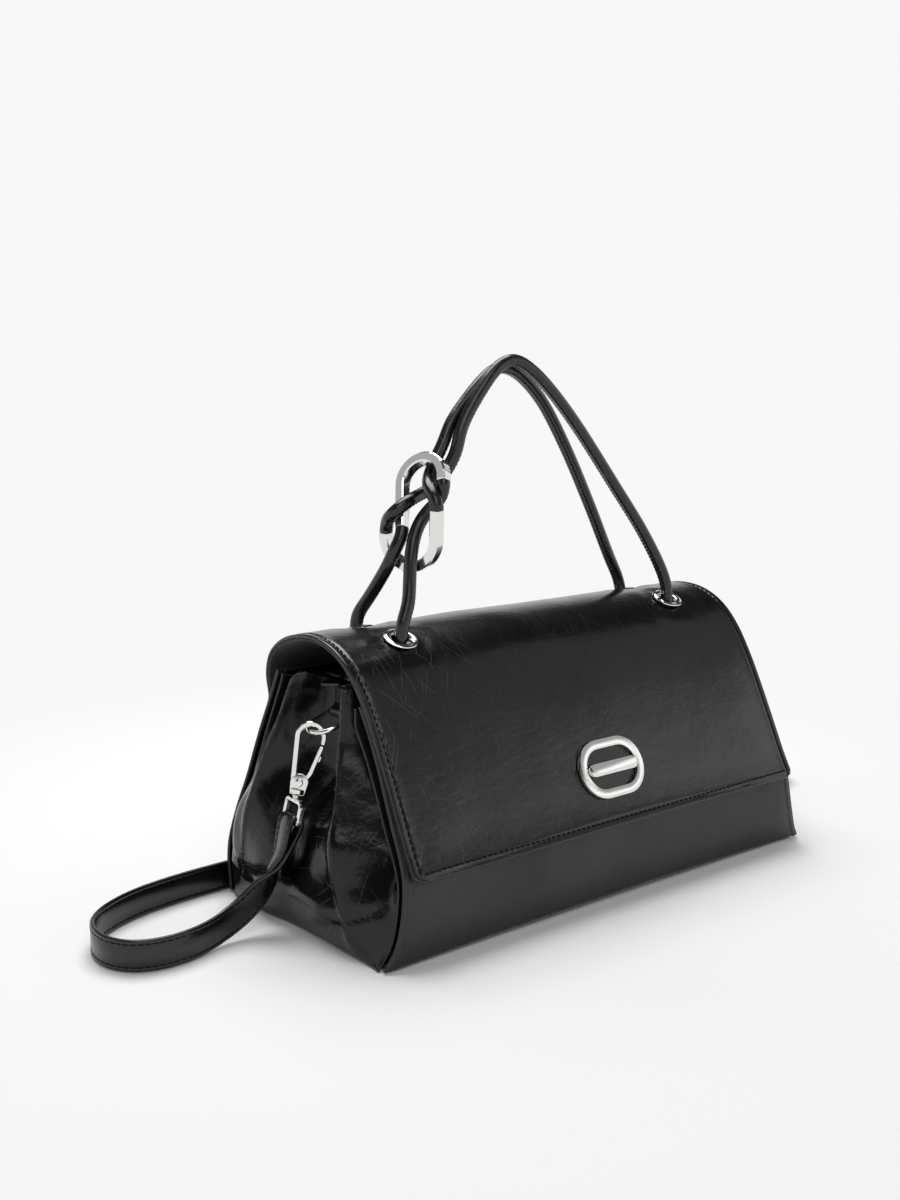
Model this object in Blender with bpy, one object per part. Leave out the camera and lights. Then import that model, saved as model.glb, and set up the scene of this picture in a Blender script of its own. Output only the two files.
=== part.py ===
"""Satchel with a fold-over flap, a knotted cord handle and a clip-on shoulder strap.

The bag stands on its base. X runs along its length, the front faces -Y and Z is up. The origin is the
middle of the underside of the base. All lengths are in metres.
"""

import math

import bmesh
import bpy
import numpy as np
from mathutils import Matrix, Vector

# Leather and fits
SEAM_GAP = 0.0003
CUT_OVERRUN = 0.004
PANEL_THICKNESS = 0.0020
GUSSET_THICKNESS = 0.0011
DIVIDER_THICKNESS = 0.0012
LINING_THICKNESS = 0.0006
ROUND_SIDES = 16
PIN_SIDES = 12

# Body of the bag
BASE_LENGTH = 0.300
BASE_DEPTH = 0.130
BODY_HEIGHT = 0.120
BASE_THICKNESS = 0.0025
STIFFENER_THICKNESS = 0.0018
STIFFENER_MARGIN = 0.009
DIVIDER_EDGE_INSET = 0.0100
DIVIDER_TOP_DROP = 0.0030
RIDGE_HALF_WIDTH = 0.0022
RIDGE_ROUND = 0.0030
PANEL_ROWS = 9
PANEL_COLUMNS = 6
GUSSET_ROWS = 9
GUSSET_STEPS = 3

# Height share, then share of half the depth: the outer faces of the front and back panels
FRONT_PROFILE_SHARES = (
    (0.0, 0.995), (0.10, 1.020), (0.22, 1.018), (0.333, 0.995), (0.417, 0.940), (0.50, 0.868),
    (0.683, 0.713), (0.817, 0.583), (0.933, 0.445),
)
BACK_PROFILE_SHARES = (
    (0.0, 0.985), (0.167, 1.015), (0.333, 1.0), (0.567, 0.885), (0.708, 0.785), (0.85, 0.66), (0.99, 0.545),
)
# Height share, then share of half the length: the side edges of the front and back panels
FRONT_EDGE_SHARES = (
    (0.0, 0.997), (0.067, 0.960), (0.167, 0.934), (0.333, 0.915), (0.583, 0.907), (0.933, 0.893),
)
BACK_EDGE_SHARES = ((0.0, 0.985), (0.2, 0.98), (0.34, 0.955), (0.5, 0.926), (0.65, 0.913), (0.99, 0.9))

# Folds of a side gusset. Each level has its height share, how far its ridges are pinched, and seven
# stations from front to back, each a share of half the depth and of half the length: front valley,
# front ridge, three across the middle valley, rear ridge and rear valley.
GUSSET_LEVEL_SHARES = (
    (0.0, 0.0, ((-0.900, 0.980), (-0.646, 0.981), (-0.246, 0.976), (0.123, 0.979), (0.431, 0.993),
                (0.708, 0.995), (0.846, 0.990))),
    (0.07, 0.0, ((-0.892, 0.940), (-0.631, 1.007), (-0.231, 1.004), (0.123, 1.001), (0.415, 1.012),
                 (0.692, 1.015), (0.846, 1.007))),
    (0.20, 0.0, ((-0.877, 0.886), (-0.554, 1.017), (-0.215, 1.023), (0.123, 1.017), (0.415, 1.030),
                 (0.662, 1.027), (0.831, 1.013))),
    (0.42, 0.2, ((-0.831, 0.847), (-0.431, 1.000), (-0.185, 0.980), (0.123, 0.940), (0.415, 0.993),
                 (0.631, 1.013), (0.800, 0.993))),
    (0.60, 0.7, ((-0.677, 0.830), (-0.369, 0.960), (-0.185, 0.873), (0.123, 0.813), (0.415, 0.887),
                 (0.600, 0.967), (0.715, 0.925))),
    (0.80, 1.0, ((-0.485, 0.808), (-0.262, 0.910), (-0.154, 0.800), (0.092, 0.760), (0.346, 0.800),
                 (0.500, 0.920), (0.590, 0.850))),
    (1.0, 1.0, ((-0.338, 0.795), (-0.246, 0.893), (-0.138, 0.780), (0.062, 0.747), (0.262, 0.780),
                (0.369, 0.893), (0.440, 0.815))),
)
# Height share of the gusset's top edge at the front seam, the seven stations and the rear seam
GUSSET_TOP_SHARES = (0.925, 0.915, 0.995, 0.955, 0.955, 0.960, 1.0, 0.945, 0.985)
FRONT_RIDGE = 1
REAR_RIDGE = 5

# Flap
FLAP_HALF_WIDTH = 0.1346
FLAP_OUTER_THICKNESS = 0.0016
FLAP_LINING_THICKNESS = 0.0011
FLAP_CREST_RISE = 0.020
FLAP_FRONT_STANDOFF = 0.006
FLAP_STEPS = 3
FLAP_COLUMNS = 2
# Shares of half the depth, of the front's standoff, of the body's height and of the crest's rise over it:
# the flap's outer face from the hinge seam behind the bag, over the top and down to its lower edge
FLAP_PROFILE_SHARES = (
    (0.705, 0.0, 0.8692, 0.0), (0.738, 0.0, 0.9172, 0.3), (0.685, 0.0, 0.9523, 0.6), (0.530, 0.0, 0.9783, 0.85),
    (0.308, 0.0, 0.9968, 0.97), (0.092, 0.0, 1.0, 1.0), (-0.123, 0.0, 0.9817, 0.97),
    (-0.308, 0.0, 0.9468, 0.85), (-0.4435, 0.2, 0.895, 0.65), (-0.5689, 0.5, 0.8072, 0.4),
    (-0.6952, 0.8, 0.6878, 0.15), (-0.8307, 1.0, 0.5378, 0.0), (-0.9357, 1.0, 0.4188, 0.0),
    (-1.0247, 1.0, 0.3313, 0.0),
)
HINGE_STRIP_HEIGHT = 0.012

# Eyelets and handle
EYELET_HALF_SPACING = 0.0950
EYELET_FRONT_Y = -0.0107
EYELET_REAR_Y = 0.0254
EYELET_HOLE_RADIUS = 0.0050
EYELET_FLANGE_RADIUS = 0.0086
EYELET_FLANGE_HEIGHT = 0.0011
EYELET_WALL = 0.0005
WASHER_THICKNESS = 0.0007
WASHER_RADIUS = 0.0072
CORD_RADIUS = 0.0031
CORD_SIDES = 10
CORD_TAIL = 0.0066
STOPPER_RADIUS = 0.0052
STOPPER_HEIGHT = 0.0032
LINK_WALL = 0.0050
LINK_DEPTH = 0.0066
LINK_CHAMFER = 0.0011
LINK_ARC_STEPS = 14
LINK_LEG_STEPS = 2
LINK_LEAD = 0.0044
UPPER_LINK_WIDTH = 0.0290
UPPER_LINK_LONG_LEG = 0.0220
UPPER_LINK_SHORT_LEG = 0.0030
LOWER_LINK_WIDTH = 0.0340
LOWER_LINK_LONG_LEG = 0.0145
LOWER_LINK_SHORT_LEG = 0.0004

# Closure of the flap
CLOSURE_HEIGHT_SHARE = 0.55
RING_PLATE_LENGTH = 0.0440
RING_PLATE_WIDTH = 0.0300
RING_PLATE_THICKNESS = 0.0022
RING_PLATE_BAND = 0.0048
CLOSURE_BAR_WIDTH = 0.0070
CLOSURE_BAR_THICKNESS = 0.0038
MAGNET_RADIUS = 0.0080
MAGNET_THICKNESS = 0.0006
PLATE_ROUND_STEPS = 7

# Zip of the main compartment
ZIP_LEVEL_SHARE = 0.9583
ZIP_END_INSET = 0.0350
ZIP_CENTRE_Y = 0.0040
ZIP_TAPE_THICKNESS = 0.0008
ZIP_OPENING_WIDTH = 0.0140
ZIP_TAPE_LAP = 0.0045
ZIP_FACING_THICKNESS = 0.0014
ZIP_TEETH_WIDTH = 0.0030
ZIP_TEETH_HEIGHT = 0.0016
SLIDER_LENGTH = 0.0085
SLIDER_WIDTH = 0.0080
SLIDER_PLATE_THICKNESS = 0.0010
SLIDER_BAIL_RADIUS = 0.0006
SLIDER_BAIL_HEIGHT = 0.0028
PULLER_LENGTH = 0.0120
PULLER_WIDTH = 0.0055
PULLER_THICKNESS = 0.0010
PULLER_EYE_RADIUS = 0.0011
PULLER_EYE_STEPS = 6
ZIP_TAB_LENGTH = 0.0160
ZIP_TAB_WIDTH = 0.0120

# Side rings, their tabs and the strap clips
RING_WIRE_RADIUS = 0.0013
RING_INNER_WIDTH = 0.0160
RING_REACH = 0.0192
RING_BAR_STANDOFF = 0.0026
RING_BAR_Y = 0.0040
RING_BAR_HEIGHT_SHARE = 0.8417
RING_DROP_ANGLE = math.radians(19.2)
RING_ARC_STEPS = 10
RING_SIDES = 8
TAB_WIDTH = 0.0145
TAB_LEATHER = 0.0013
TAB_BORE_CLEARANCE = 0.0004
TAB_HEIGHT = 0.0120
CLIP_HANG = Vector((-0.0170, 0.0012, -0.0014))
CLIP_UP_SHARES = Vector((14.0, 0.7, 50.1))
CLIP_ACROSS_SHARES = Vector((0.769, -0.639, 0.0))
CLIP_WIRE_WIDTH = 0.0026
CLIP_DEPTH = 0.0030
CLIP_LOOP_RADIUS = 0.0062
CLIP_LOOP_OFFSET = 0.0012
CLIP_CHEEK_RADIUS = 0.0042
CLIP_RIVET_DROP = 0.0297
CLIP_BODY_LENGTH = 0.0355
CLIP_FOOT_HALF_WIDTH = 0.0030
CLIP_LEG_FOOT_X = -0.0028
CLIP_NOSE_DROP = 0.0100
CLIP_ARC_STEPS = 9
GATE_THICKNESS = 0.0021
GATE_SLOT_CLEARANCE = 0.0002
GATE_TONGUE_DEPTH = 0.0012
GATE_TIP_GAP = 0.0009
GATE_FOOT_X = 0.0040
GATE_FOOT_DROP = 0.0262
RIVET_RADIUS = 0.0011
RIVET_HEAD_RADIUS = 0.0019
LUG_SHARE = 1.75
RIVET_HEAD_HEIGHT = 0.0005
PIN_FIT = 0.0001
SWIVEL_POST_RADIUS = 0.0021
SWIVEL_POST_LENGTH = 0.0026
SWIVEL_EYE_INNER_WIDTH = 0.0160
SWIVEL_EYE_HEIGHT = 0.0100
SWIVEL_WIRE_RADIUS = 0.0013
SWIVEL_CORNER_RADIUS = 0.0026
SWIVEL_CORNER_STEPS = 4
SWIVEL_TURN = math.radians(63)

# Shoulder strap
STRAP_WIDTH = 0.0150
STRAP_THICKNESS = 0.0022
STRAP_STATION = 0.011
STRAP_END_LAP = 0.0005
STRAP_FLOOR_GAP = 0.0001

# Colours
LEATHER_BLACK = (0.012, 0.012, 0.013)
LINING_BLACK = (0.03, 0.03, 0.032)
STEEL = (0.80, 0.79, 0.77)
BOARD_GREY = (0.10, 0.10, 0.10)

# Centres of the handle's links and routes of its cords, above the flap's crest
UPPER_LINK_CENTRE = (-0.0704, 0.0025, 0.0701)
UPPER_LINK_ACROSS_SHARES = (0.359, -0.893, 0.261)
UPPER_LINK_UP_SHARES = (0.309, 0.379, 0.871)
LOWER_LINK_CENTRE = (-0.0798, 0.0002, 0.0435)
LOWER_LINK_ACROSS_SHARES = (0.331, -0.947, -0.057)
LOWER_LINK_UP_SHARES = (0.071, -0.086, -0.994)
FRONT_LONG_CORD = (
    (0.0913, -0.0095, 0.0128), (0.0771, -0.0075, 0.0355), (0.0576, -0.0050, 0.0608),
    (0.0285, -0.0020, 0.0966), (0.0117, 0.0, 0.1145), (0.0009, 0.0015, 0.1237), (-0.0100, 0.0026, 0.1290),
    (-0.0170, 0.0030, 0.1278), (-0.0239, 0.0030, 0.1232), (-0.0316, 0.0030, 0.1147),
    (-0.0392, 0.0030, 0.1051), (-0.0464, 0.0025, 0.0939), (-0.0493, 0.0022, 0.0838),
    (-0.0534, 0.0038, 0.0758), (-0.0560, 0.0064, 0.0706), (-0.0598, 0.0077, 0.0670),
    (-0.0658, 0.0072, 0.0638), (-0.0738, 0.0046, 0.0623), (-0.0800, 0.0032, 0.0602),
    (-0.0850, 0.0034, 0.0575), (-0.0873, 0.0068, 0.0540),
)
REAR_LONG_CORD = (
    (0.0843, 0.0240, 0.0168), (0.0643, 0.0210, 0.0485), (0.0379, 0.0160, 0.0851),
    (0.0176, 0.0130, 0.1090), (0.0013, 0.0110, 0.1211), (-0.0082, 0.0099, 0.1247),
    (-0.0157, 0.0096, 0.1250), (-0.0232, 0.0096, 0.1208), (-0.0304, 0.0095, 0.1149),
    (-0.0378, 0.0099, 0.1073), (-0.0472, 0.0092, 0.0974), (-0.0532, 0.0078, 0.0876),
    (-0.0566, 0.0084, 0.0816), (-0.0602, 0.0074, 0.0770), (-0.0644, 0.0044, 0.0735),
    (-0.0684, 0.0005, 0.0712), (-0.0722, -0.0040, 0.0688), (-0.0746, -0.0084, 0.0662),
)
FRONT_SHORT_CORD = (
    (-0.0930, -0.0103, 0.0050), (-0.0893, -0.0096, 0.0122), (-0.0867, -0.0073, 0.0210),
    (-0.0848, -0.0055, 0.0303), (-0.0819, -0.0036, 0.0399), (-0.0780, -0.0021, 0.0476),
    (-0.0734, -0.0022, 0.0540), (-0.0702, -0.0050, 0.0584), (-0.0684, -0.0088, 0.0622),
)
REAR_SHORT_CORD = (
    (-0.0922, 0.0240, 0.0070), (-0.0905, 0.0185, 0.0145), (-0.0891, 0.0113, 0.0242),
    (-0.0884, 0.0058, 0.0319), (-0.0867, 0.0039, 0.0380),
)
# Routes of the strap, each point in shares of the left or right eye's reach from the middle, of half the
# depth and of the eye's height over the strap's middle where it lies on the floor
STRAP_SIDE_SHARES = (
    (1.0334, 0.0462, 0.7138), (1.0603, 0.0769, 0.5266), (1.1005, 0.1200, 0.3283),
    (1.1576, 0.1415, 0.1520), (1.2347, 0.1262, 0.0419), (1.3153, 0.0692, 0.0066),
    (1.4025, 0.0277, 0.0), (1.4897, 0.0385, 0.0), (1.5568, 0.1154, 0.0), (1.5971, 0.2692, 0.0),
    (1.6018, 0.4462, 0.0), (1.5770, 0.6231, 0.0), (1.5199, 0.7769, 0.0), (1.4360, 0.9000, 0.0),
    (1.3354, 0.9877, 0.0),
)
STRAP_BACK_SHARES = (
    (-1.2146, 1.0400), (-1.1005, 1.0646), (-0.9864, 1.0738), (-0.7382, 1.0800), (-0.4026, 1.0862),
    (-0.0671, 1.0923), (0.2013, 1.1046), (0.3758, 1.1692), (0.4697, 1.3231), (0.4832, 1.5231),
    (0.4161, 1.6923), (0.2818, 1.7692), (0.0671, 1.8000), (-0.1208, 1.8615), (-0.2147, 2.0154),
    (-0.2282, 2.2154), (-0.1611, 2.3846), (-0.0268, 2.4615), (0.2013, 2.4462), (0.5033, 2.2923),
    (0.8053, 2.0308), (1.0737, 1.7231), (1.2884, 1.3846), (1.4562, 1.0462),
)
STRAP_RIGHT_JOIN = 4


def clear_scene():
    """Remove whatever the scene holds."""
    for obj in list(bpy.data.objects):
        bpy.data.objects.remove(obj, do_unlink=True)


def make_material(name, color, roughness, metallic):
    """Return a Principled material."""
    material = bpy.data.materials.new(name)
    material.use_nodes = True
    shader = material.node_tree.nodes["Principled BSDF"]
    shader.inputs["Base Color"].default_value = (*color, 1.0)
    shader.inputs["Roughness"].default_value = roughness
    shader.inputs["Metallic"].default_value = metallic
    return material


def place(name, mesh, material, origin=(0, 0, 0)):
    """Link a mesh written in world places as an object whose origin is at the given point."""
    mesh.transform(Matrix.Translation(-Vector(origin)))
    obj = bpy.data.objects.new(name, mesh)
    obj.location = origin
    if material is not None:
        obj.data.materials.append(material)
    bpy.context.collection.objects.link(obj)
    return obj


def finish_mesh(bm, name, smooth_angle=math.radians(40)):
    """Turn a bmesh into a mesh with outward faces and smooth round parts."""
    bmesh.ops.recalc_face_normals(bm, faces=bm.faces)
    mesh = bpy.data.meshes.new(name)
    bm.to_mesh(mesh)
    bm.free()
    mesh.shade_smooth()
    mesh.set_sharp_from_angle(angle=smooth_angle)
    return mesh


def spline(points, steps):
    """Return a centripetal Catmull-Rom curve through the points, with so many steps in each span."""
    nodes = [Vector(p) for p in points]
    nodes = [nodes[0] * 2 - nodes[1], *nodes, nodes[-1] * 2 - nodes[-2]]
    curve = []
    for a, b, c, d in zip(nodes, nodes[1:], nodes[2:], nodes[3:]):
        t1 = (b - a).length ** 0.5
        t2 = t1 + (c - b).length ** 0.5
        t3 = t2 + (d - c).length ** 0.5
        for k in range(steps):
            t = t1 + (t2 - t1) * k / steps
            ab = a * ((t1 - t) / t1) + b * (t / t1)
            bc = b * ((t2 - t) / (t2 - t1)) + c * ((t - t1) / (t2 - t1))
            cd = c * ((t3 - t) / (t3 - t2)) + d * ((t - t2) / (t3 - t2))
            abc = ab * ((t2 - t) / t2) + bc * (t / t2)
            bcd = bc * ((t3 - t) / (t3 - t1)) + cd * ((t - t1) / (t3 - t1))
            curve.append(abc * ((t2 - t) / (t2 - t1)) + bcd * ((t - t1) / (t2 - t1)))
    curve.append(nodes[-2].copy())
    return curve


def resample(points, spacing):
    """Return points evenly spaced along a polyline, about the given spacing apart."""
    runs = [0.0]
    for a, b in zip(points, points[1:]):
        runs.append(runs[-1] + (b - a).length)
    count = max(2, round(runs[-1] / spacing))
    places = np.linspace(0, runs[-1], count + 1)
    axes = [np.interp(places, runs, [p[i] for p in points]) for i in range(3)]
    return [Vector(p) for p in zip(*axes)]


def share_at(shares, height_share):
    """Read a smooth table of shares at a height share."""
    curve = spline([(a, b, 0) for a, b in shares], 6)
    return float(np.interp(height_share, [p.x for p in curve], [p.y for p in curve]))


def front_y(z):
    """Outer face of the front panel at a height."""
    return -share_at(FRONT_PROFILE_SHARES, z / BODY_HEIGHT) * BASE_DEPTH / 2


def back_y(z):
    """Outer face of the back panel at a height."""
    return share_at(BACK_PROFILE_SHARES, z / BODY_HEIGHT) * BASE_DEPTH / 2


def front_edge(z):
    """Half width of the front panel at a height."""
    return share_at(FRONT_EDGE_SHARES, z / BODY_HEIGHT) * BASE_LENGTH / 2


def back_edge(z):
    """Half width of the back panel at a height."""
    return share_at(BACK_EDGE_SHARES, z / BODY_HEIGHT) * BASE_LENGTH / 2


def slant(profile, z):
    """How much longer a wall's thickness is along Y than square to its face, at a height."""
    step = BODY_HEIGHT / 40
    rise = (profile(z + step) - profile(max(z - step, 0))) / (2 * step)
    return math.sqrt(1 + rise * rise)


def sheet_mesh(name, outer, inner):
    """Close two matching grids of points into a solid sheet."""
    bm = bmesh.new()
    rows, columns = len(outer), len(outer[0])
    faces = [[[bm.verts.new(p) for p in row] for row in grid] for grid in (outer, inner)]
    for side in faces:
        for i in range(rows - 1):
            for j in range(columns - 1):
                bm.faces.new((side[i][j], side[i + 1][j], side[i + 1][j + 1], side[i][j + 1]))
    top, under = faces
    rim = [(0, j) for j in range(columns - 1)] + [(i, columns - 1) for i in range(rows - 1)]
    rim += [(rows - 1, j) for j in range(columns - 1, 0, -1)] + [(i, 0) for i in range(rows - 1, 0, -1)]
    for (i, j), (k, m) in zip(rim, rim[1:] + rim[:1]):
        bm.faces.new((top[i][j], top[k][m], under[k][m], under[i][j]))
    return finish_mesh(bm, name)


def offset_grid(grid, distance, away):
    """Shift a grid of points square to its surface, to the side that away points from."""
    rows, columns = len(grid), len(grid[0])
    shifted = []
    for i in range(rows):
        row = []
        for j in range(columns):
            along = grid[min(i + 1, rows - 1)][j] - grid[max(i - 1, 0)][j]
            across = grid[i][min(j + 1, columns - 1)] - grid[i][max(j - 1, 0)]
            normal = along.cross(across).normalized()
            row.append(grid[i][j] + normal * distance * away)
        shifted.append(row)
    return shifted


def prism_mesh(name, outline, direction, smooth_angle=math.radians(40)):
    """Extrude a flat outline of points along a vector."""
    bm = bmesh.new()
    low = [bm.verts.new(p) for p in outline]
    high = [bm.verts.new(Vector(p) + Vector(direction)) for p in outline]
    bm.faces.new(low)
    bm.faces.new(reversed(high))
    for i in range(len(low)):
        j = (i + 1) % len(low)
        bm.faces.new((low[i], high[i], high[j], low[j]))
    return finish_mesh(bm, name, smooth_angle)


def box_mesh(name, low, high):
    """Box between two corners."""
    x0, y0, z0 = low
    x1, y1, z1 = high
    return prism_mesh(name, [(x0, y0, z0), (x1, y0, z0), (x1, y1, z0), (x0, y1, z0)], (0, 0, z1 - z0))


def lathe_mesh(name, profile, frame, sides):
    """Turn a closed profile of (radius, height) points round the Z axis of a frame."""
    bm = bmesh.new()
    rings = []
    for k in range(sides):
        angle = 2 * math.pi * k / sides
        ring = [bm.verts.new(frame @ Vector((r * math.cos(angle), r * math.sin(angle), h))) for r, h in profile]
        rings.append(ring)
    for ring, following in zip(rings, rings[1:] + rings[:1]):
        for i in range(len(profile)):
            j = (i + 1) % len(profile)
            bm.faces.new((ring[i], following[i], following[j], ring[j]))
    return finish_mesh(bm, name)


def spool_mesh(name, profile, frame, sides):
    """Solid turned piece whose (radius, height) profile runs up the Z axis of a frame, with flat ends."""
    bm = bmesh.new()
    rings = []
    for r, h in profile:
        turns = [2 * math.pi * k / sides for k in range(sides)]
        rings.append([bm.verts.new(frame @ Vector((r * math.cos(a), r * math.sin(a), h))) for a in turns])
    for ring, following in zip(rings, rings[1:]):
        for i in range(sides):
            j = (i + 1) % sides
            bm.faces.new((ring[i], ring[j], following[j], following[i]))
    bm.faces.new(reversed(rings[0]))
    bm.faces.new(rings[-1])
    return finish_mesh(bm, name)


def drum_mesh(name, frame, radius, low, high, sides=PIN_SIDES):
    """Solid cylinder along the Z axis of a frame."""
    ring = [(radius * math.cos(2 * math.pi * k / sides), radius * math.sin(2 * math.pi * k / sides))
            for k in range(sides)]
    outline = [frame @ Vector((x, y, low)) for x, y in ring]
    return prism_mesh(name, outline, frame.to_3x3() @ Vector((0, 0, high - low)))


def swept_mesh(name, frames, section, closed):
    """Sweep a section of (across, up) points along frames, with capped ends unless it is closed."""
    bm = bmesh.new()
    rings = [[bm.verts.new(frame @ Vector((x, y, 0))) for x, y in section] for frame in frames]
    pairs = list(zip(rings, rings[1:]))
    if closed:
        pairs.append((rings[-1], rings[0]))
    else:
        bm.faces.new(rings[0])
        bm.faces.new(reversed(rings[-1]))
    for ring, following in pairs:
        for i in range(len(section)):
            j = (i + 1) % len(section)
            bm.faces.new((ring[i], ring[j], following[j], following[i]))
    return finish_mesh(bm, name)


def frame_at(origin, across, up, along):
    """Matrix with the given origin and axes."""
    matrix = Matrix((Vector(across).normalized(), Vector(up).normalized(), Vector(along).normalized()))
    return Matrix.Translation(origin) @ matrix.transposed().to_4x4()


def path_frames(points, across_at, closed=False):
    """Frames along a path; across_at gives each point's wanted across direction."""
    frames = []
    count = len(points)
    for i, point in enumerate(points):
        if closed:
            along = points[(i + 1) % count] - points[i - 1]
        else:
            along = points[min(i + 1, count - 1)] - points[max(i - 1, 0)]
        along.normalize()
        wanted = across_at(i)
        across = (wanted - along * wanted.dot(along)).normalized()
        frames.append(frame_at(point, across, along.cross(across), along))
    return frames


def round_section(radius, sides):
    """Points of a circle."""
    return [(radius * math.cos(2 * math.pi * k / sides), radius * math.sin(2 * math.pi * k / sides))
            for k in range(sides)]


def chamfered_section(width, height, chamfer):
    """Rectangle with its four corners cut."""
    a, b, c = width / 2, height / 2, chamfer
    return [(a - c, -b), (a, -b + c), (a, b - c), (a - c, b), (-a + c, b), (-a, b - c), (-a, -b + c), (-a + c, -b)]


def stadium(length, width, steps=PLATE_ROUND_STEPS):
    """Outline of a bar with round ends, lying along its first axis."""
    radius = width / 2
    reach = length / 2 - radius
    points = []
    for centre, start in ((reach, -math.pi / 2), (-reach, math.pi / 2)):
        for k in range(steps + 1):
            angle = start + math.pi * k / steps
            points.append((centre + radius * math.cos(angle), radius * math.sin(angle)))
    return points


def cut(obj, cutter, operation="DIFFERENCE"):
    """Apply a Boolean with a hidden cutter object."""
    cutter.hide_render = True
    cutter.display_type = "WIRE"
    modifier = obj.modifiers.new("cut_" + cutter.name, "BOOLEAN")
    modifier.operation = operation
    modifier.object = cutter
    modifier.solver = "EXACT"


def tube_object(name, points, radius, material):
    """Cord as a curve object with a round bevel and filled ends."""
    curve = bpy.data.curves.new(name, "CURVE")
    curve.dimensions = "3D"
    curve.bevel_depth = radius
    curve.bevel_resolution = (CORD_SIDES - 2) // 4
    curve.use_fill_caps = True
    run = curve.splines.new("POLY")
    run.points.add(len(points) - 1)
    for slot, point in zip(run.points, points):
        slot.co = (*point, 1)
    curve.materials.append(material)
    obj = bpy.data.objects.new(name, curve)
    bpy.context.collection.objects.link(obj)
    return obj


def panel_grid(profile, edge, low, high, thickness, rows=PANEL_ROWS):
    """Outer and inner faces of a panel that follows a profile between two heights."""
    heights = np.linspace(low, high, rows)
    grid = []
    for z in heights:
        half = edge(z)
        grid.append([Vector((x, profile(z), z)) for x in np.linspace(-half, half, PANEL_COLUMNS)])
    side = 1 if profile(low) < 0 else -1
    inner = []
    for i, row in enumerate(grid):
        z = heights[i]
        shift = thickness * slant(profile, z) * side
        inner.append([p + Vector((0, shift, 0)) for p in row])
    return grid, inner


def gusset_station(level_share):
    """Fold stations of a side gusset at a height share, read between the levels of the table."""
    levels = [level[0] for level in GUSSET_LEVEL_SHARES]
    places = []
    for k in range(len(GUSSET_LEVEL_SHARES[0][2])):
        depth = [(a, level[2][k][0], 0) for a, level in zip(levels, GUSSET_LEVEL_SHARES)]
        reach = [(a, level[2][k][1], 0) for a, level in zip(levels, GUSSET_LEVEL_SHARES)]
        places.append((share_at([p[:2] for p in depth], level_share) * BASE_DEPTH / 2,
                       share_at([p[:2] for p in reach], level_share) * BASE_LENGTH / 2))
    pinch = float(np.interp(level_share, levels, [level[1] for level in GUSSET_LEVEL_SHARES]))
    return places, pinch


def gusset_section(level_share):
    """Outer face of the right gusset at a height share, from the front seam to the rear seam."""
    places, pinch = gusset_station(level_share)
    z = max(level_share * BODY_HEIGHT, BASE_THICKNESS + SEAM_GAP)
    inset = PANEL_THICKNESS + SEAM_GAP + GUSSET_THICKNESS
    front_z = min(z, GUSSET_TOP_SHARES[0] * BODY_HEIGHT)
    rear_z = min(z, GUSSET_TOP_SHARES[-1] * BODY_HEIGHT)
    front = (front_y(front_z) + inset * slant(front_y, front_z), front_edge(front_z))
    rear = (back_y(rear_z) - inset * slant(back_y, rear_z), back_edge(rear_z))
    outline = [front]
    for k, (y, x) in enumerate(places):
        if k in (FRONT_RIDGE, REAR_RIDGE):
            back = RIDGE_ROUND * pinch
            outline += [(y - RIDGE_HALF_WIDTH, x - back), (y, x), (y + RIDGE_HALF_WIDTH, x - back)]
        else:
            outline.append((y, x))
    outline.append(rear)
    return [(p.x, p.y) for p in spline([(y, x, 0) for y, x in outline], GUSSET_STEPS)]


def gusset_top(count):
    """Height shares of the gusset's top edge at each point of its section."""
    shares = list(GUSSET_TOP_SHARES)
    full = [shares[0]]
    for k, share in enumerate(shares[1:-1]):
        full += [share] * 3 if k in (FRONT_RIDGE, REAR_RIDGE) else [share]
    full.append(shares[-1])
    return np.interp(np.linspace(0, len(full) - 1, count), range(len(full)), full)


def gusset_grid():
    """Outer and inner faces of the right side gusset."""
    low = (BASE_THICKNESS + SEAM_GAP) / BODY_HEIGHT
    sections = [gusset_section(v) for v in np.linspace(low, 1.0, GUSSET_ROWS)]
    tops = gusset_top(len(sections[0]))
    outer = []
    for i, section in enumerate(sections):
        v = i / (GUSSET_ROWS - 1)
        outer.append([Vector((x, y, (low + (tops[j] - low) * v) * BODY_HEIGHT)) for j, (y, x) in enumerate(section)])
    inner = offset_grid(outer, GUSSET_THICKNESS, 1)
    for row in inner:
        for point in row:
            point.z = max(point.z, low * BODY_HEIGHT)
    return outer, inner


def divider_grid(ridge):
    """Divider that hangs between the matching ridges of the two gussets."""
    low = BASE_THICKNESS + STIFFENER_THICKNESS + LINING_THICKNESS + SEAM_GAP * 4
    high = BODY_HEIGHT - DIVIDER_TOP_DROP
    outer, inner = [], []
    for z in np.linspace(low, high, PANEL_ROWS):
        places, _ = gusset_station(z / BODY_HEIGHT)
        y, x = places[ridge]
        half = x - DIVIDER_EDGE_INSET
        across = np.linspace(-half, half, PANEL_COLUMNS)
        outer.append([Vector((u, y - DIVIDER_THICKNESS / 2, z)) for u in across])
        inner.append([Vector((u, y + DIVIDER_THICKNESS / 2, z)) for u in across])
    return outer, inner


def flap_profile():
    """Outer face of the flap in the YZ plane."""
    points = [(0, depth * BASE_DEPTH / 2 - off * FLAP_FRONT_STANDOFF, height * BODY_HEIGHT + rise * FLAP_CREST_RISE)
              for depth, off, height, rise in FLAP_PROFILE_SHARES]
    return spline(points, FLAP_STEPS)


def profile_normal(points, index):
    """Outward normal of the flap's profile at a point."""
    along = points[min(index + 1, len(points) - 1)] - points[max(index - 1, 0)]
    return Vector((0, along.z, -along.y)).normalized()


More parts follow.
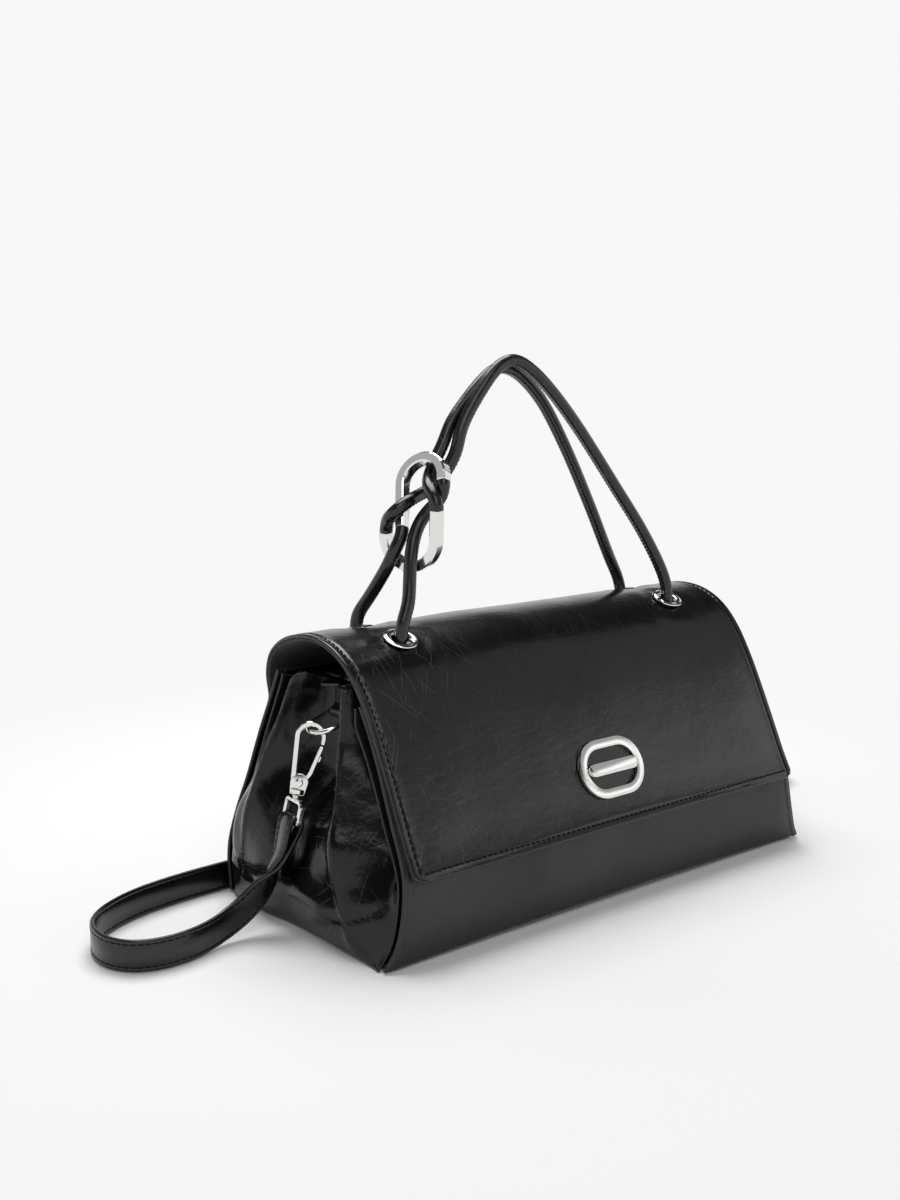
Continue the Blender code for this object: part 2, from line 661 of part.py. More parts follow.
def flap_frame(y=None, z=None):
    """Frame on the flap's outer face, Z outwards and X along the bag, at a place on its front or top."""
    points = flap_profile()
    for index in range(2 * FLAP_STEPS, len(points) - 1):
        a, b = points[index], points[index + 1]
        if y is not None and a.y >= y > b.y:
            share = (a.y - y) / (a.y - b.y)
            break
        if z is not None and a.y < 0 and a.z >= z > b.z:
            share = (a.z - z) / (a.z - b.z)
            break
    place_here = a.lerp(b, share)
    normal = Vector((0, (b - a).z, -(b - a).y)).normalized()
    return frame_at(place_here, Vector((1, 0, 0)), normal.cross(Vector((1, 0, 0))), normal)


def flap_sheet(name, depth, thickness, material, origin):
    """One layer of the flap, lying at a depth under the outer face."""
    points = flap_profile()
    outer, inner = [], []
    across = np.linspace(-FLAP_HALF_WIDTH, FLAP_HALF_WIDTH, FLAP_COLUMNS + 1)
    for index, point in enumerate(points):
        normal = profile_normal(points, index)
        top = point - normal * depth
        under = top - normal * thickness
        outer.append([Vector((x, top.y, top.z)) for x in across])
        inner.append([Vector((x, under.y, under.z)) for x in across])
    return place(name, sheet_mesh(name, outer, inner), material, origin)


def shell_parts(leather):
    """Base, stiffener, panels, gussets and dividers."""
    half_length, half_depth = BASE_LENGTH / 2, BASE_DEPTH / 2
    places, _ = gusset_station(0)
    outline = [(-front_edge(0), front_y(0)), (front_edge(0), front_y(0))]
    outline += [(x, y) for y, x in places[1:]]
    outline += [(back_edge(0), back_y(0)), (-back_edge(0), back_y(0))]
    outline += [(-x, y) for y, x in reversed(places[1:])]
    base = prism_mesh("base_panel", [(x, y, 0) for x, y in outline], (0, 0, BASE_THICKNESS))
    place("base_panel", base, leather)

    board_low = BASE_THICKNESS + SEAM_GAP
    margin = STIFFENER_MARGIN
    board = box_mesh("base_stiffener", (-half_length + margin, -half_depth + margin, board_low),
                     (half_length - margin, half_depth - margin, board_low + STIFFENER_THICKNESS))
    place("base_stiffener", board, make_material("board", BOARD_GREY, 0.8, 0))

    wall_low = BASE_THICKNESS + SEAM_GAP
    front_high = FRONT_PROFILE_SHARES[-1][0] * BODY_HEIGHT
    back_high = BACK_PROFILE_SHARES[-1][0] * BODY_HEIGHT
    front = sheet_mesh("front_panel", *panel_grid(front_y, front_edge, wall_low, front_high, PANEL_THICKNESS))
    place("front_panel", front, leather)
    back = sheet_mesh("back_panel", *panel_grid(back_y, back_edge, wall_low, back_high, PANEL_THICKNESS))
    place("back_panel", back, leather)

    outer, inner = gusset_grid()
    for name, side in (("side_gusset_right", 1), ("side_gusset_left", -1)):
        grids = [[[Vector((p.x * side, p.y, p.z)) for p in row] for row in grid] for grid in (outer, inner)]
        place(name, sheet_mesh(name, *grids), leather)

    for name, ridge in (("front_divider", FRONT_RIDGE), ("rear_divider", REAR_RIDGE)):
        place(name, sheet_mesh(name, *divider_grid(ridge)), leather)


def flap_parts(leather, lining, hinge):
    """Flap layers with their holes, and the strip that hinges them to the back panel."""
    layers = [
        flap_sheet("flap_outer", 0, FLAP_OUTER_THICKNESS, leather, hinge),
        flap_sheet("flap_lining", FLAP_OUTER_THICKNESS + SEAM_GAP, FLAP_LINING_THICKNESS, lining, hinge),
    ]
    hole = EYELET_HOLE_RADIUS + EYELET_WALL + SEAM_GAP
    deep = flap_thickness() + CUT_OVERRUN
    for index, (x, y) in enumerate(eyelet_places()):
        frame = eyelet_frame(x, y)
        cutter = place("eyelet_cutter_%d" % index, drum_mesh("cutter", frame, hole, -deep, deep, ROUND_SIDES), None)
        for layer in layers:
            cut(layer, cutter)
    start = flap_profile()[0]
    high = start.z - SEAM_GAP
    gap = SEAM_GAP
    thick = flap_thickness()

    def strip_face(z):
        return back_y(z) + gap * slant(back_y, z) + thick * slant(back_y, z)

    strip = sheet_mesh("flap_hinge_strip", *panel_grid(
        strip_face, lambda z: FLAP_HALF_WIDTH, high - HINGE_STRIP_HEIGHT, high, thick, rows=3))
    place("flap_hinge_strip", strip, leather)


def flap_thickness():
    """Whole thickness of the flap."""
    return FLAP_OUTER_THICKNESS + SEAM_GAP + FLAP_LINING_THICKNESS


def eyelet_places():
    """Eyelet centres in plan, left front, left rear, right front and right rear."""
    return [(side * EYELET_HALF_SPACING, y) for side in (-1, 1) for y in (EYELET_FRONT_Y, EYELET_REAR_Y)]


def eyelet_frame(x, y):
    """Frame on the flap at an eyelet."""
    return Matrix.Translation((x, 0, 0)) @ flap_frame(y=y)


def flap_sag(frame, radius):
    """How far the flap's outer face curves away from a frame on it within a radius."""
    local = frame.inverted()
    heights = [0.0]
    for point in flap_profile():
        place_there = local @ Vector((frame.translation.x, point.y, point.z))
        if abs(place_there.y) < radius * 1.5:
            heights.append(np.interp(radius, (0, abs(place_there.y) + SEAM_GAP), (0, -place_there.z)))
    return float(max(heights))


def eyelet_parts(steel, hinge):
    """Eyelets through the flap and the washers that hold them under it."""
    names = ("front_left", "rear_left", "front_right", "rear_right")
    bore, wall = EYELET_HOLE_RADIUS, EYELET_WALL
    for name, (x, y) in zip(names, eyelet_places()):
        frame = eyelet_frame(x, y)
        under = -flap_thickness() - SEAM_GAP - flap_sag(frame, WASHER_RADIUS)
        rim = EYELET_FLANGE_RADIUS
        lift = SEAM_GAP
        crown = lift + EYELET_FLANGE_HEIGHT
        foot = under - WASHER_THICKNESS - lift
        profile = [(bore, foot), (bore + wall, foot), (bore + wall, lift), (rim, lift),
                   (rim, lift + EYELET_FLANGE_HEIGHT / 3), ((rim + bore) / 2, crown), (bore + wall, crown),
                   (bore, crown - EYELET_FLANGE_HEIGHT / 3)]
        place("eyelet_" + name, lathe_mesh("eyelet", profile, frame, ROUND_SIDES), steel, hinge)
        inner = bore + wall + SEAM_GAP
        ring = [(inner, under - WASHER_THICKNESS), (WASHER_RADIUS, under - WASHER_THICKNESS),
                (WASHER_RADIUS, under), (inner, under)]
        place("washer_" + name, lathe_mesh("washer", ring, frame, ROUND_SIDES), steel, hinge)


class Link:
    """Split link of the handle: a half ring with one long and one short leg."""

    def __init__(self, centre, across, upward, width, near_leg, far_leg):
        self.centre = Vector(centre)
        self.across = Vector(across).normalized()
        self.upward = (Vector(upward) - self.across * Vector(upward).dot(self.across)).normalized()
        self.facing = self.across.cross(self.upward)
        self.radius = (width - LINK_WALL) / 2
        self.legs = {-1: near_leg, 1: far_leg}

    def end(self, side, beyond=0.0):
        """Point on the axis of a leg, at its end or beyond it."""
        return self.centre + self.across * self.radius * side - self.upward * (self.legs[side] + beyond)

    def path(self):
        """Centre line from the end of one leg to the end of the other."""
        points = [self.end(-1).lerp(self.end(-1, -self.legs[-1]), k / LINK_LEG_STEPS) for k in range(LINK_LEG_STEPS)]
        for k in range(LINK_ARC_STEPS + 1):
            angle = math.pi - math.pi * k / LINK_ARC_STEPS
            points.append(self.centre + (self.across * math.cos(angle) + self.upward * math.sin(angle)) * self.radius)
        top = self.end(1, -self.legs[1])
        points += [top.lerp(self.end(1), (k + 1) / LINK_LEG_STEPS) for k in range(LINK_LEG_STEPS)]
        return points

    def mesh(self, name):
        """Solid of the link."""
        frames = path_frames(self.path(), lambda i: self.facing)
        return swept_mesh(name, frames, chamfered_section(LINK_DEPTH, LINK_WALL, LINK_CHAMFER), False)


def above_crest(point):
    """Place of a point that is given above the flap's crest."""
    return Vector(point) + Vector((0, 0, BODY_HEIGHT + FLAP_CREST_RISE))


UPPER_LINK = Link(above_crest(UPPER_LINK_CENTRE), UPPER_LINK_ACROSS_SHARES, UPPER_LINK_UP_SHARES,
                  UPPER_LINK_WIDTH, UPPER_LINK_LONG_LEG, UPPER_LINK_SHORT_LEG)
LOWER_LINK = Link(above_crest(LOWER_LINK_CENTRE), LOWER_LINK_ACROSS_SHARES, LOWER_LINK_UP_SHARES,
                  LOWER_LINK_WIDTH, LOWER_LINK_SHORT_LEG, LOWER_LINK_LONG_LEG)


def cord_route(start, route, link, side):
    """Route of a cord from under the flap, through its eyelet, to its end at a link."""
    frame = eyelet_frame(*start)
    centre = frame.translation
    lean = (frame.to_3x3() @ Vector((0, 0, 1)) + Vector((0, 0, 1))).normalized()
    points = [centre - lean * CORD_TAIL, centre, centre + lean * CORD_TAIL]
    points += [above_crest(p) for p in route]
    points += [link.end(side, LINK_LEAD), link.end(side, LINK_LEAD / 2), link.end(side, SEAM_GAP)]
    return points, lean


def handle_parts(leather, steel, hinge):
    """Two long and two short cords, their links and the stoppers under the flap."""
    left_front, left_rear, right_front, right_rear = eyelet_places()
    cords = (
        ("handle_cord_front_long", right_front, FRONT_LONG_CORD, LOWER_LINK, -1),
        ("handle_cord_rear_long", right_rear, REAR_LONG_CORD, LOWER_LINK, 1),
        ("handle_cord_front_short", left_front, FRONT_SHORT_CORD, UPPER_LINK, 1),
        ("handle_cord_rear_short", left_rear, REAR_SHORT_CORD, UPPER_LINK, -1),
    )
    for name, start, route, link, side in cords:
        points, lean = cord_route(start, route, link, side)
        run = resample(spline(points, 8), CORD_RADIUS * 1.6)
        tube_object(name, run, CORD_RADIUS, leather)
        foot = points[0] - lean * SEAM_GAP
        across = lean.cross(Vector((1, 0, 0)))
        frame = frame_at(foot, across.cross(lean), across, lean)
        stopper = drum_mesh("stopper", frame, STOPPER_RADIUS, -STOPPER_HEIGHT, 0, ROUND_SIDES)
        place(name.replace("handle_cord", "cord_stopper"), stopper, steel, hinge)
    place("handle_link_upper", UPPER_LINK.mesh("upper"), steel, hinge)
    place("handle_link_lower", LOWER_LINK.mesh("lower"), steel, hinge)


def plate_object(name, frame, outline, low, high, material, origin=(0, 0, 0)):
    """Flat plate with an outline in a frame's XY plane."""
    points = [frame @ Vector((x, y, low)) for x, y in outline]
    mesh = prism_mesh(name, points, frame.to_3x3() @ Vector((0, 0, high - low)))
    return place(name, mesh, material, origin)


def closure_frame():
    """Frame on the flap at its closure, and the front panel's place along the frame's Z."""
    frame = flap_frame(z=CLOSURE_HEIGHT_SHARE * BODY_HEIGHT)
    origin = frame.translation
    normal = frame.to_3x3() @ Vector((0, 0, 1))
    low, high = 0.0, BASE_DEPTH / 2
    for _ in range(20):
        drop = (low + high) / 2
        point = origin - normal * drop
        if point.y > front_y(point.z):
            high = drop
        else:
            low = drop
    return frame, -drop


def closure_parts(steel, hinge):
    """Plain ring and bar on the flap, over the two magnets that hold it shut."""
    frame, panel = closure_frame()
    magnet = round_section(MAGNET_RADIUS, ROUND_SIDES)
    low = panel + SEAM_GAP
    plate_object("body_magnet", frame, magnet, low, low + MAGNET_THICKNESS, steel)
    high = -flap_thickness() - SEAM_GAP
    plate_object("flap_magnet", frame, magnet, high - MAGNET_THICKNESS, high, steel, hinge)

    ring = plate_object("closure_ring", frame, stadium(RING_PLATE_LENGTH, RING_PLATE_WIDTH), SEAM_GAP,
                        SEAM_GAP + RING_PLATE_THICKNESS, steel, hinge)
    inside = RING_PLATE_BAND * 2
    cutter = plate_object("ring_cutter", frame, stadium(RING_PLATE_LENGTH - inside, RING_PLATE_WIDTH - inside),
                          -CUT_OVERRUN, CUT_OVERRUN, None)
    cut(ring, cutter)
    length = RING_PLATE_LENGTH - inside - SEAM_GAP * 2
    plate_object("closure_bar", frame, stadium(length, CLOSURE_BAR_WIDTH), SEAM_GAP,
                 SEAM_GAP + CLOSURE_BAR_THICKNESS, steel, hinge)


def zip_parts(leather, lining, steel):
    """Facings, tapes with their teeth, slider, puller, stops and end tab."""
    half = BASE_LENGTH / 2 - ZIP_END_INSET
    low = ZIP_LEVEL_SHARE * BODY_HEIGHT
    facing_low = low + ZIP_TAPE_THICKNESS + SEAM_GAP
    places, _ = gusset_station((facing_low + ZIP_FACING_THICKNESS) / BODY_HEIGHT)
    ridge_front, ridge_rear = places[FRONT_RIDGE][0], places[REAR_RIDGE][0]
    seat = DIVIDER_THICKNESS / 2 + SEAM_GAP * 3
    inner_front = ZIP_CENTRE_Y - ZIP_OPENING_WIDTH / 2
    inner_rear = ZIP_CENTRE_Y + ZIP_OPENING_WIDTH / 2
    facings = (("zip_facing_front", ridge_front + seat, inner_front), ("zip_facing_rear", inner_rear, ridge_rear - seat))
    for name, y0, y1 in facings:
        place(name, box_mesh(name, (-half, y0, facing_low), (half, y1, facing_low + ZIP_FACING_THICKNESS)), leather)

    meet = SEAM_GAP / 2
    teeth = low + ZIP_TAPE_THICKNESS + ZIP_TEETH_HEIGHT
    for name, side in (("zip_tape_front", -1), ("zip_tape_rear", 1)):
        outer = ZIP_CENTRE_Y + side * (ZIP_OPENING_WIDTH / 2 + ZIP_TAPE_LAP)
        step = ZIP_CENTRE_Y + side * (meet + ZIP_TEETH_WIDTH)
        inner = ZIP_CENTRE_Y + side * meet
        outline = [(outer, low), (inner, low), (inner, teeth), (step, teeth), (step, low + ZIP_TAPE_THICKNESS),
                   (outer, low + ZIP_TAPE_THICKNESS)]
        start = -half + SLIDER_LENGTH
        mesh = prism_mesh(name, [(start, y, z) for y, z in outline], ((half - SLIDER_LENGTH) * 2, 0, 0))
        place(name, mesh, lining)

    gap = SEAM_GAP
    x0 = -half + gap
    x1 = x0 + SLIDER_LENGTH - gap * 2
    slider_low = low
    slider_high = teeth + gap + SLIDER_PLATE_THICKNESS
    y0, y1 = ZIP_CENTRE_Y - SLIDER_WIDTH / 2, ZIP_CENTRE_Y + SLIDER_WIDTH / 2
    slider = place("zip_slider", box_mesh("slider", (x0, y0, slider_low), (x1, y1, slider_high)), steel,
                   (x0, ZIP_CENTRE_Y, slider_low))
    middle = (x0 + x1) / 2
    bail_z = slider_high + SLIDER_BAIL_HEIGHT / 2
    for side in (-1, 1):
        centre = ZIP_CENTRE_Y + side * (PULLER_WIDTH / 2 + gap + SLIDER_BAIL_RADIUS)
        post = box_mesh("post", (middle - SLIDER_BAIL_RADIUS * 2, centre - SLIDER_BAIL_RADIUS, slider_high - gap),
                        (middle + SLIDER_BAIL_RADIUS * 2, centre + SLIDER_BAIL_RADIUS, slider_high + SLIDER_BAIL_HEIGHT))
        cut(slider, place("slider_post_%d" % (side + 1), post, None, (x0, ZIP_CENTRE_Y, slider_low)), "UNION")
    pivot = Vector((middle, ZIP_CENTRE_Y, bail_z))
    axis = frame_at(pivot, (1, 0, 0), (0, 0, 1), (0, -1, 0))
    reach = PULLER_WIDTH / 2 + gap * 2
    bar = place("slider_bar", drum_mesh("bar", axis, SLIDER_BAIL_RADIUS, -reach, reach), None, (x0, ZIP_CENTRE_Y, slider_low))
    cut(slider, bar, "UNION")

    eye = PULLER_EYE_RADIUS
    outline = [(PULLER_LENGTH, -PULLER_THICKNESS / 2), (PULLER_LENGTH, PULLER_THICKNESS / 2)]
    for k in range(PULLER_EYE_STEPS + 1):
        angle = math.pi / 2 + math.pi * k / PULLER_EYE_STEPS
        outline.append((eye * math.cos(angle), eye * math.sin(angle)))
    puller_points = [axis @ Vector((x, y, -PULLER_WIDTH / 2)) for x, y in outline]
    puller = place("zip_puller", prism_mesh("puller", puller_points, axis.to_3x3() @ Vector((0, 0, PULLER_WIDTH))),
                   steel, pivot)
    bore = SLIDER_BAIL_RADIUS + PIN_FIT
    cut(puller, place("puller_cutter", drum_mesh("cutter", axis, bore, -CUT_OVERRUN, CUT_OVERRUN), None))

    stop_x = half - SLIDER_LENGTH + gap
    stop = box_mesh("zip_end_stop", (stop_x, y0, low), (stop_x + SLIDER_LENGTH / 2, y1, teeth))
    place("zip_end_stop", stop, steel)
    tab_low = low + ZIP_TAPE_THICKNESS + gap
    tab_x = -half - gap
    half_tab = ZIP_TAB_WIDTH / 2
    outline = [(tab_x, -half_tab), (tab_x - ZIP_TAB_LENGTH + half_tab, -half_tab), (tab_x - ZIP_TAB_LENGTH, 0),
               (tab_x - ZIP_TAB_LENGTH + half_tab, half_tab), (tab_x, half_tab)]
    flat = [(x, ZIP_CENTRE_Y + y, tab_low) for x, y in outline]
    place("zip_end_tab", prism_mesh("tab", flat, (0, 0, ZIP_FACING_THICKNESS)), leather)


def ring_bar(side):
    """Middle of a side ring's bar, standing off the gusset's outer face by its folded tab."""
    z = RING_BAR_HEIGHT_SHARE * BODY_HEIGHT
    section = gusset_section(RING_BAR_HEIGHT_SHARE)
    face = float(np.interp(RING_BAR_Y, [y for y, _ in section], [x for _, x in section]))
    fold = RING_WIRE_RADIUS + TAB_BORE_CLEARANCE + TAB_LEATHER
    return Vector((side * (face + RING_BAR_STANDOFF + fold), RING_BAR_Y, z))


def ring_parts(leather, steel):
    """D-rings and the leather tabs that carry them on the side gussets."""
    wire = RING_WIRE_RADIUS
    half = RING_INNER_WIDTH / 2 + wire
    arm = RING_REACH - half
    for name, side in (("left", -1), ("right", 1)):
        bar = ring_bar(side)
        out = Vector((side * math.cos(RING_DROP_ANGLE), 0, -math.sin(RING_DROP_ANGLE)))
        wide = Vector((0, 1, 0))
        points = [bar + wide * half * (k / 2) for k in range(-2, 3)]
        for k in range(RING_ARC_STEPS + 1):
            angle = math.pi / 2 - math.pi * k / RING_ARC_STEPS
            points.append(bar + out * (arm + half * math.cos(angle)) + wide * half * math.sin(angle))
        facing = out.cross(wide)
        frames = path_frames(points, lambda i: facing, closed=True)
        ring = swept_mesh("ring", frames, round_section(wire, RING_SIDES), True)
        place("d_ring_" + name, ring, steel, bar)

        bore = wire + TAB_BORE_CLEARANCE
        fold = bore + TAB_LEATHER
        frame = frame_at(bar, (side, 0, 0), (0, 0, 1), (0, -side, 0))
        outline = []
        for k in range(PIN_SIDES + 1):
            angle = math.pi * 0.62 - math.pi * 1.62 * k / PIN_SIDES
            outline.append((fold * math.cos(angle), fold * math.sin(angle)))
        outline += [(-fold, TAB_HEIGHT), (-fold + TAB_LEATHER * 2, TAB_HEIGHT), (-fold + TAB_LEATHER * 2, fold * 0.9)]
        width = TAB_WIDTH
        points = [frame @ Vector((x, y, -width / 2)) for x, y in outline]
        tab = place("ring_tab_" + name, prism_mesh("tab", points, frame.to_3x3() @ Vector((0, 0, width))), leather)
        cutter = place("tab_cutter_" + name, drum_mesh("cutter", frame, bore, -width, width), None)
        cut(tab, cutter)


def clip_frame(side):
    """Frame of a clip: X across it, Y up its length from the top of its loop, Z to its face."""
    up = CLIP_UP_SHARES.normalized()
    across = (CLIP_ACROSS_SHARES - up * CLIP_ACROSS_SHARES.dot(up)).normalized()
    frame = frame_at(ring_bar(-1) + CLIP_HANG, across, up, across.cross(up))
    if side > 0:
        frame = Matrix.Diagonal((-1, 1, 1, 1)) @ frame
    return frame


def clip_parts(steel):
    """Swivel clips: body, gate, rivet and the swivel eye that holds the strap."""
    for name, side in (("left", -1), ("right", 1)):
        frame = clip_frame(side)
        turn = frame.to_3x3()
        rivet = Vector((0, -CLIP_RIVET_DROP, 0))
        rivet_place = frame @ rivet
        depth = CLIP_DEPTH

        centre = Vector((CLIP_LOOP_OFFSET, -CLIP_LOOP_RADIUS - CLIP_WIRE_WIDTH / 2, 0))
        nose = Vector((CLIP_LOOP_OFFSET + CLIP_LOOP_RADIUS, -CLIP_NOSE_DROP, 0))
        path = [nose]
        for k in range(CLIP_ARC_STEPS + 1):
            angle = math.pi * k / CLIP_ARC_STEPS
            path.append(centre + Vector((math.cos(angle), math.sin(angle), 0)) * CLIP_LOOP_RADIUS)
        path.append(Vector((CLIP_LEG_FOOT_X, -CLIP_RIVET_DROP, 0)))
        frames = [frame @ f for f in path_frames(path, lambda i: Vector((0, 0, 1)))]
        body = place("clip_body_" + name,
                     swept_mesh("body", frames, chamfered_section(depth, CLIP_WIRE_WIDTH, CLIP_WIRE_WIDTH / 5), False),
                     steel, rivet_place)
        cheek = CLIP_CHEEK_RADIUS
        foot = -CLIP_BODY_LENGTH
        outline = [(cheek * math.cos(a), -CLIP_RIVET_DROP + cheek * math.sin(a))
                   for a in np.linspace(-0.15 * math.pi, 1.15 * math.pi, PIN_SIDES)]
        outline += [(-CLIP_FOOT_HALF_WIDTH, foot), (CLIP_FOOT_HALF_WIDTH, foot)]
        points = [frame @ Vector((x, y, -depth / 2)) for x, y in outline]
        plate = place("clip_plate_" + name, prism_mesh("plate", points, turn @ Vector((0, 0, depth))), None, rivet_place)
        cut(body, plate, "UNION")

        slot = GATE_TONGUE_DEPTH / 2 + GATE_SLOT_CLEARANCE
        reach = cheek + CUT_OVERRUN
        near = RIVET_RADIUS * LUG_SHARE * math.sqrt(2) + SEAM_GAP
        slot_outline = [(-near, -CLIP_RIVET_DROP - near), (reach, -CLIP_RIVET_DROP - near),
                        (reach, -CLIP_RIVET_DROP + reach), (-near, -CLIP_RIVET_DROP + reach)]
        points = [frame @ Vector((x, y, -slot)) for x, y in slot_outline]
        cutter = place("slot_cutter_" + name, prism_mesh("cutter", points, turn @ Vector((0, 0, slot * 2))), None)
        cut(body, cutter)
        pin = frame @ Matrix.Translation(rivet)
        bore = RIVET_RADIUS + PIN_FIT
        cutter = place("rivet_cutter_" + name, drum_mesh("cutter", pin, bore, -reach, reach), None)
        cut(body, cutter)

        tip = nose + Vector((0, -GATE_TIP_GAP, 0))
        heel = Vector((GATE_FOOT_X, -GATE_FOOT_DROP, 0))
        lean = (tip - heel).normalized()
        wide = Vector((lean.y, -lean.x, 0)) * GATE_THICKNESS / 2
        bar_depth = depth / 2
        bar_low = heel + lean * GATE_THICKNESS
        outline = [bar_low + wide, tip + wide, tip - wide, bar_low - wide]
        points = [frame @ (p - Vector((0, 0, bar_depth))) for p in outline]
        gate = place("clip_gate_" + name, prism_mesh("gate", points, turn @ Vector((0, 0, depth))), steel, rivet_place)
        tongue = GATE_TONGUE_DEPTH / 2
        eye = RIVET_RADIUS * LUG_SHARE
        side_way = Vector((lean.y, -lean.x, 0)) * eye
        outline = [rivet - side_way - lean * eye, rivet + side_way - lean * eye, bar_low + wide + lean * GATE_THICKNESS / 2,
                   bar_low - wide + lean * GATE_THICKNESS / 2]
        points = [frame @ (p - Vector((0, 0, tongue))) for p in outline]
        lug = place("gate_lug_" + name, prism_mesh("lug", points, turn @ Vector((0, 0, tongue * 2))), None, rivet_place)
        cut(gate, lug, "UNION")
        cut(gate, cutter)

        head = depth / 2 + SEAM_GAP
        profile = [(RIVET_HEAD_RADIUS, -head - RIVET_HEAD_HEIGHT), (RIVET_HEAD_RADIUS, -head), (RIVET_RADIUS, -head),
                   (RIVET_RADIUS, head), (RIVET_HEAD_RADIUS, head), (RIVET_HEAD_RADIUS, head + RIVET_HEAD_HEIGHT)]
        place("clip_rivet_" + name, spool_mesh("rivet", profile, pin, PIN_SIDES), steel, rivet_place)

        eye_object(name, frame, steel)


def eye_frame(frame):
    """Frame of the swivel eye: X along the strap's width, Y up the clip, origin at its lower bar."""
    drop = CLIP_BODY_LENGTH + SEAM_GAP + SWIVEL_POST_LENGTH + SWIVEL_EYE_HEIGHT
    return frame @ Matrix.Translation((0, -drop, 0)) @ Matrix.Rotation(-SWIVEL_TURN, 4, "Y")


def eye_object(name, frame, steel):
    """Swivel eye: a rounded wire loop hanging from its post."""
    local = eye_frame(frame)
    half = SWIVEL_EYE_INNER_WIDTH / 2 + SWIVEL_WIRE_RADIUS
    high = SWIVEL_EYE_HEIGHT
    corner = SWIVEL_CORNER_RADIUS
    path = []
    centres = ((half - corner, high - corner, 0), (-half + corner, high - corner, 90),
               (-half + corner, corner, 180), (half - corner, corner, 270))
    for x, y, start in centres:
        for k in range(SWIVEL_CORNER_STEPS + 1):
            angle = math.radians(start + 90 * k / SWIVEL_CORNER_STEPS)
            path.append(Vector((x + corner * math.cos(angle), y + corner * math.sin(angle), 0)))
    frames = [local @ f for f in path_frames(path, lambda i: Vector((0, 0, 1)), closed=True)]
    origin = local.translation
    eye = place("swivel_eye_" + name,
                swept_mesh("eye", frames, round_section(SWIVEL_WIRE_RADIUS, RING_SIDES), True), steel, origin)
    axis = local @ Matrix.Translation((0, high, 0)) @ Matrix.Rotation(-math.pi / 2, 4, "X")
    post = place("swivel_post_" + name,
                 drum_mesh("post", axis, SWIVEL_POST_RADIUS, -SWIVEL_WIRE_RADIUS / 2, SWIVEL_POST_LENGTH), None, origin)
    cut(eye, post, "UNION")


def strap_parts(leather):
    """Shoulder strap: round the left eye, over the floor behind the bag, and round the right eye."""
    left, right = eye_frame(clip_frame(-1)), eye_frame(clip_frame(1))
    reach = SWIVEL_WIRE_RADIUS + SEAM_GAP * 2 + STRAP_THICKNESS / 2
    low, high = STRAP_WIDTH / 2 + STRAP_FLOOR_GAP, left.translation.z
    eye_x = right.translation.x

    def laid(x, y, z=0):
        """Point of the strap's middle line from its shares."""
        return Vector((x * eye_x, y * BASE_DEPTH / 2, low + z * (high - low)))

    def wrap(eye):
        """Points from the strap's sewn end, up behind the bar, over it and down its front."""
        y_axis = eye.to_3x3() @ Vector((0, 1, 0))
        z_axis = eye.to_3x3() @ Vector((0, 0, 1))
        front = -z_axis if z_axis.y > 0 else z_axis
        origin = eye.translation
        return [origin + front * reach * math.sin(a) + y_axis * reach * math.cos(a)
                for a in np.radians((-90, -60, -30, 0, 30, 60, 90))], front

    left_wrap, left_front = wrap(left)
    right_wrap, right_front = wrap(right)
    left_side = [laid(-x, y, z) for x, y, z in STRAP_SIDE_SHARES]
    right_side = [laid(*p) for p in reversed(STRAP_SIDE_SHARES[:-STRAP_RIGHT_JOIN])]
    back = [laid(*p) for p in STRAP_BACK_SHARES]

    def tail(front, route):
        """Second layer from the bar down to where it is sewn to the first."""
        layer = STRAP_THICKNESS + STRAP_END_LAP
        shift = [layer * (1.0 + 0.9 * k / 3) for k in (2, 1, 0)]
        ends = [route[2], route[1], route[0]]
        return [p - front * s for p, s in zip(ends, shift)]

    points = tail(left_front, left_side) + left_wrap + left_side + back + right_side
    points += list(reversed(right_wrap)) + list(reversed(tail(right_front, list(reversed(right_side)))))
    run = resample(spline(points, 6), STRAP_STATION / 4)
    keep = []
    for i, p in enumerate(run):
        straight = i % 4 == 0 and p.z < STRAP_WIDTH
        if straight or p.z >= STRAP_WIDTH or i == len(run) - 1:
            keep.append(p)
    wide_left = left.to_3x3() @ Vector((1, 0, 0))
    wide_right = right.to_3x3() @ Vector((1, 0, 0))
    wide_left = wide_left if wide_left.x < 0 else -wide_left
    wide_right = wide_right if wide_right.x > 0 else -wide_right

    def width_at(i):
        """Width direction: along the bar at an eye, upright on the floor, turning between."""
        p = keep[i]
        share = min(max((p.z - low) / (high - low), 0), 1)
        share = share * share * (3 - 2 * share)
        start = wide_left if p.x < 0 else wide_right
        return start * share + Vector((0, 0, 1)) * (1 - share)

    frames = path_frames(keep, width_at)
    a, b = STRAP_WIDTH / 2, STRAP_THICKNESS / 2
    strap = swept_mesh("strap", frames, [(a, -b), (a, b), (-a, b), (-a, -b)], False)
    place("shoulder_strap", strap, leather)
    total = sum((q - p).length for p, q in zip(keep, keep[1:]))
    print("strap length %.3f" % total)


def build():
    """Build every piece of the satchel."""
    clear_scene()
    leather = make_material("leather", LEATHER_BLACK, 0.25, 0)
    lining = make_material("lining", LINING_BLACK, 0.7, 0)
    steel = make_material("steel", STEEL, 0.15, 1)
    start = flap_profile()[0]
    hinge = (0, start.y, start.z)
    shell_parts(leather)
    flap_parts(leather, lining, hinge)
    eyelet_parts(steel, hinge)
    handle_parts(leather, steel, hinge)
    closure_parts(steel, hinge)
    zip_parts(leather, lining, steel)
    ring_parts(leather, steel)
    clip_parts(steel)
    strap_parts(leather)


build()
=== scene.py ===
"""Black leather satchel with a knotted cord handle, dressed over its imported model.

X runs along the bag, its front faces -Y and Z is up. All lengths are in metres.
"""

from __future__ import annotations

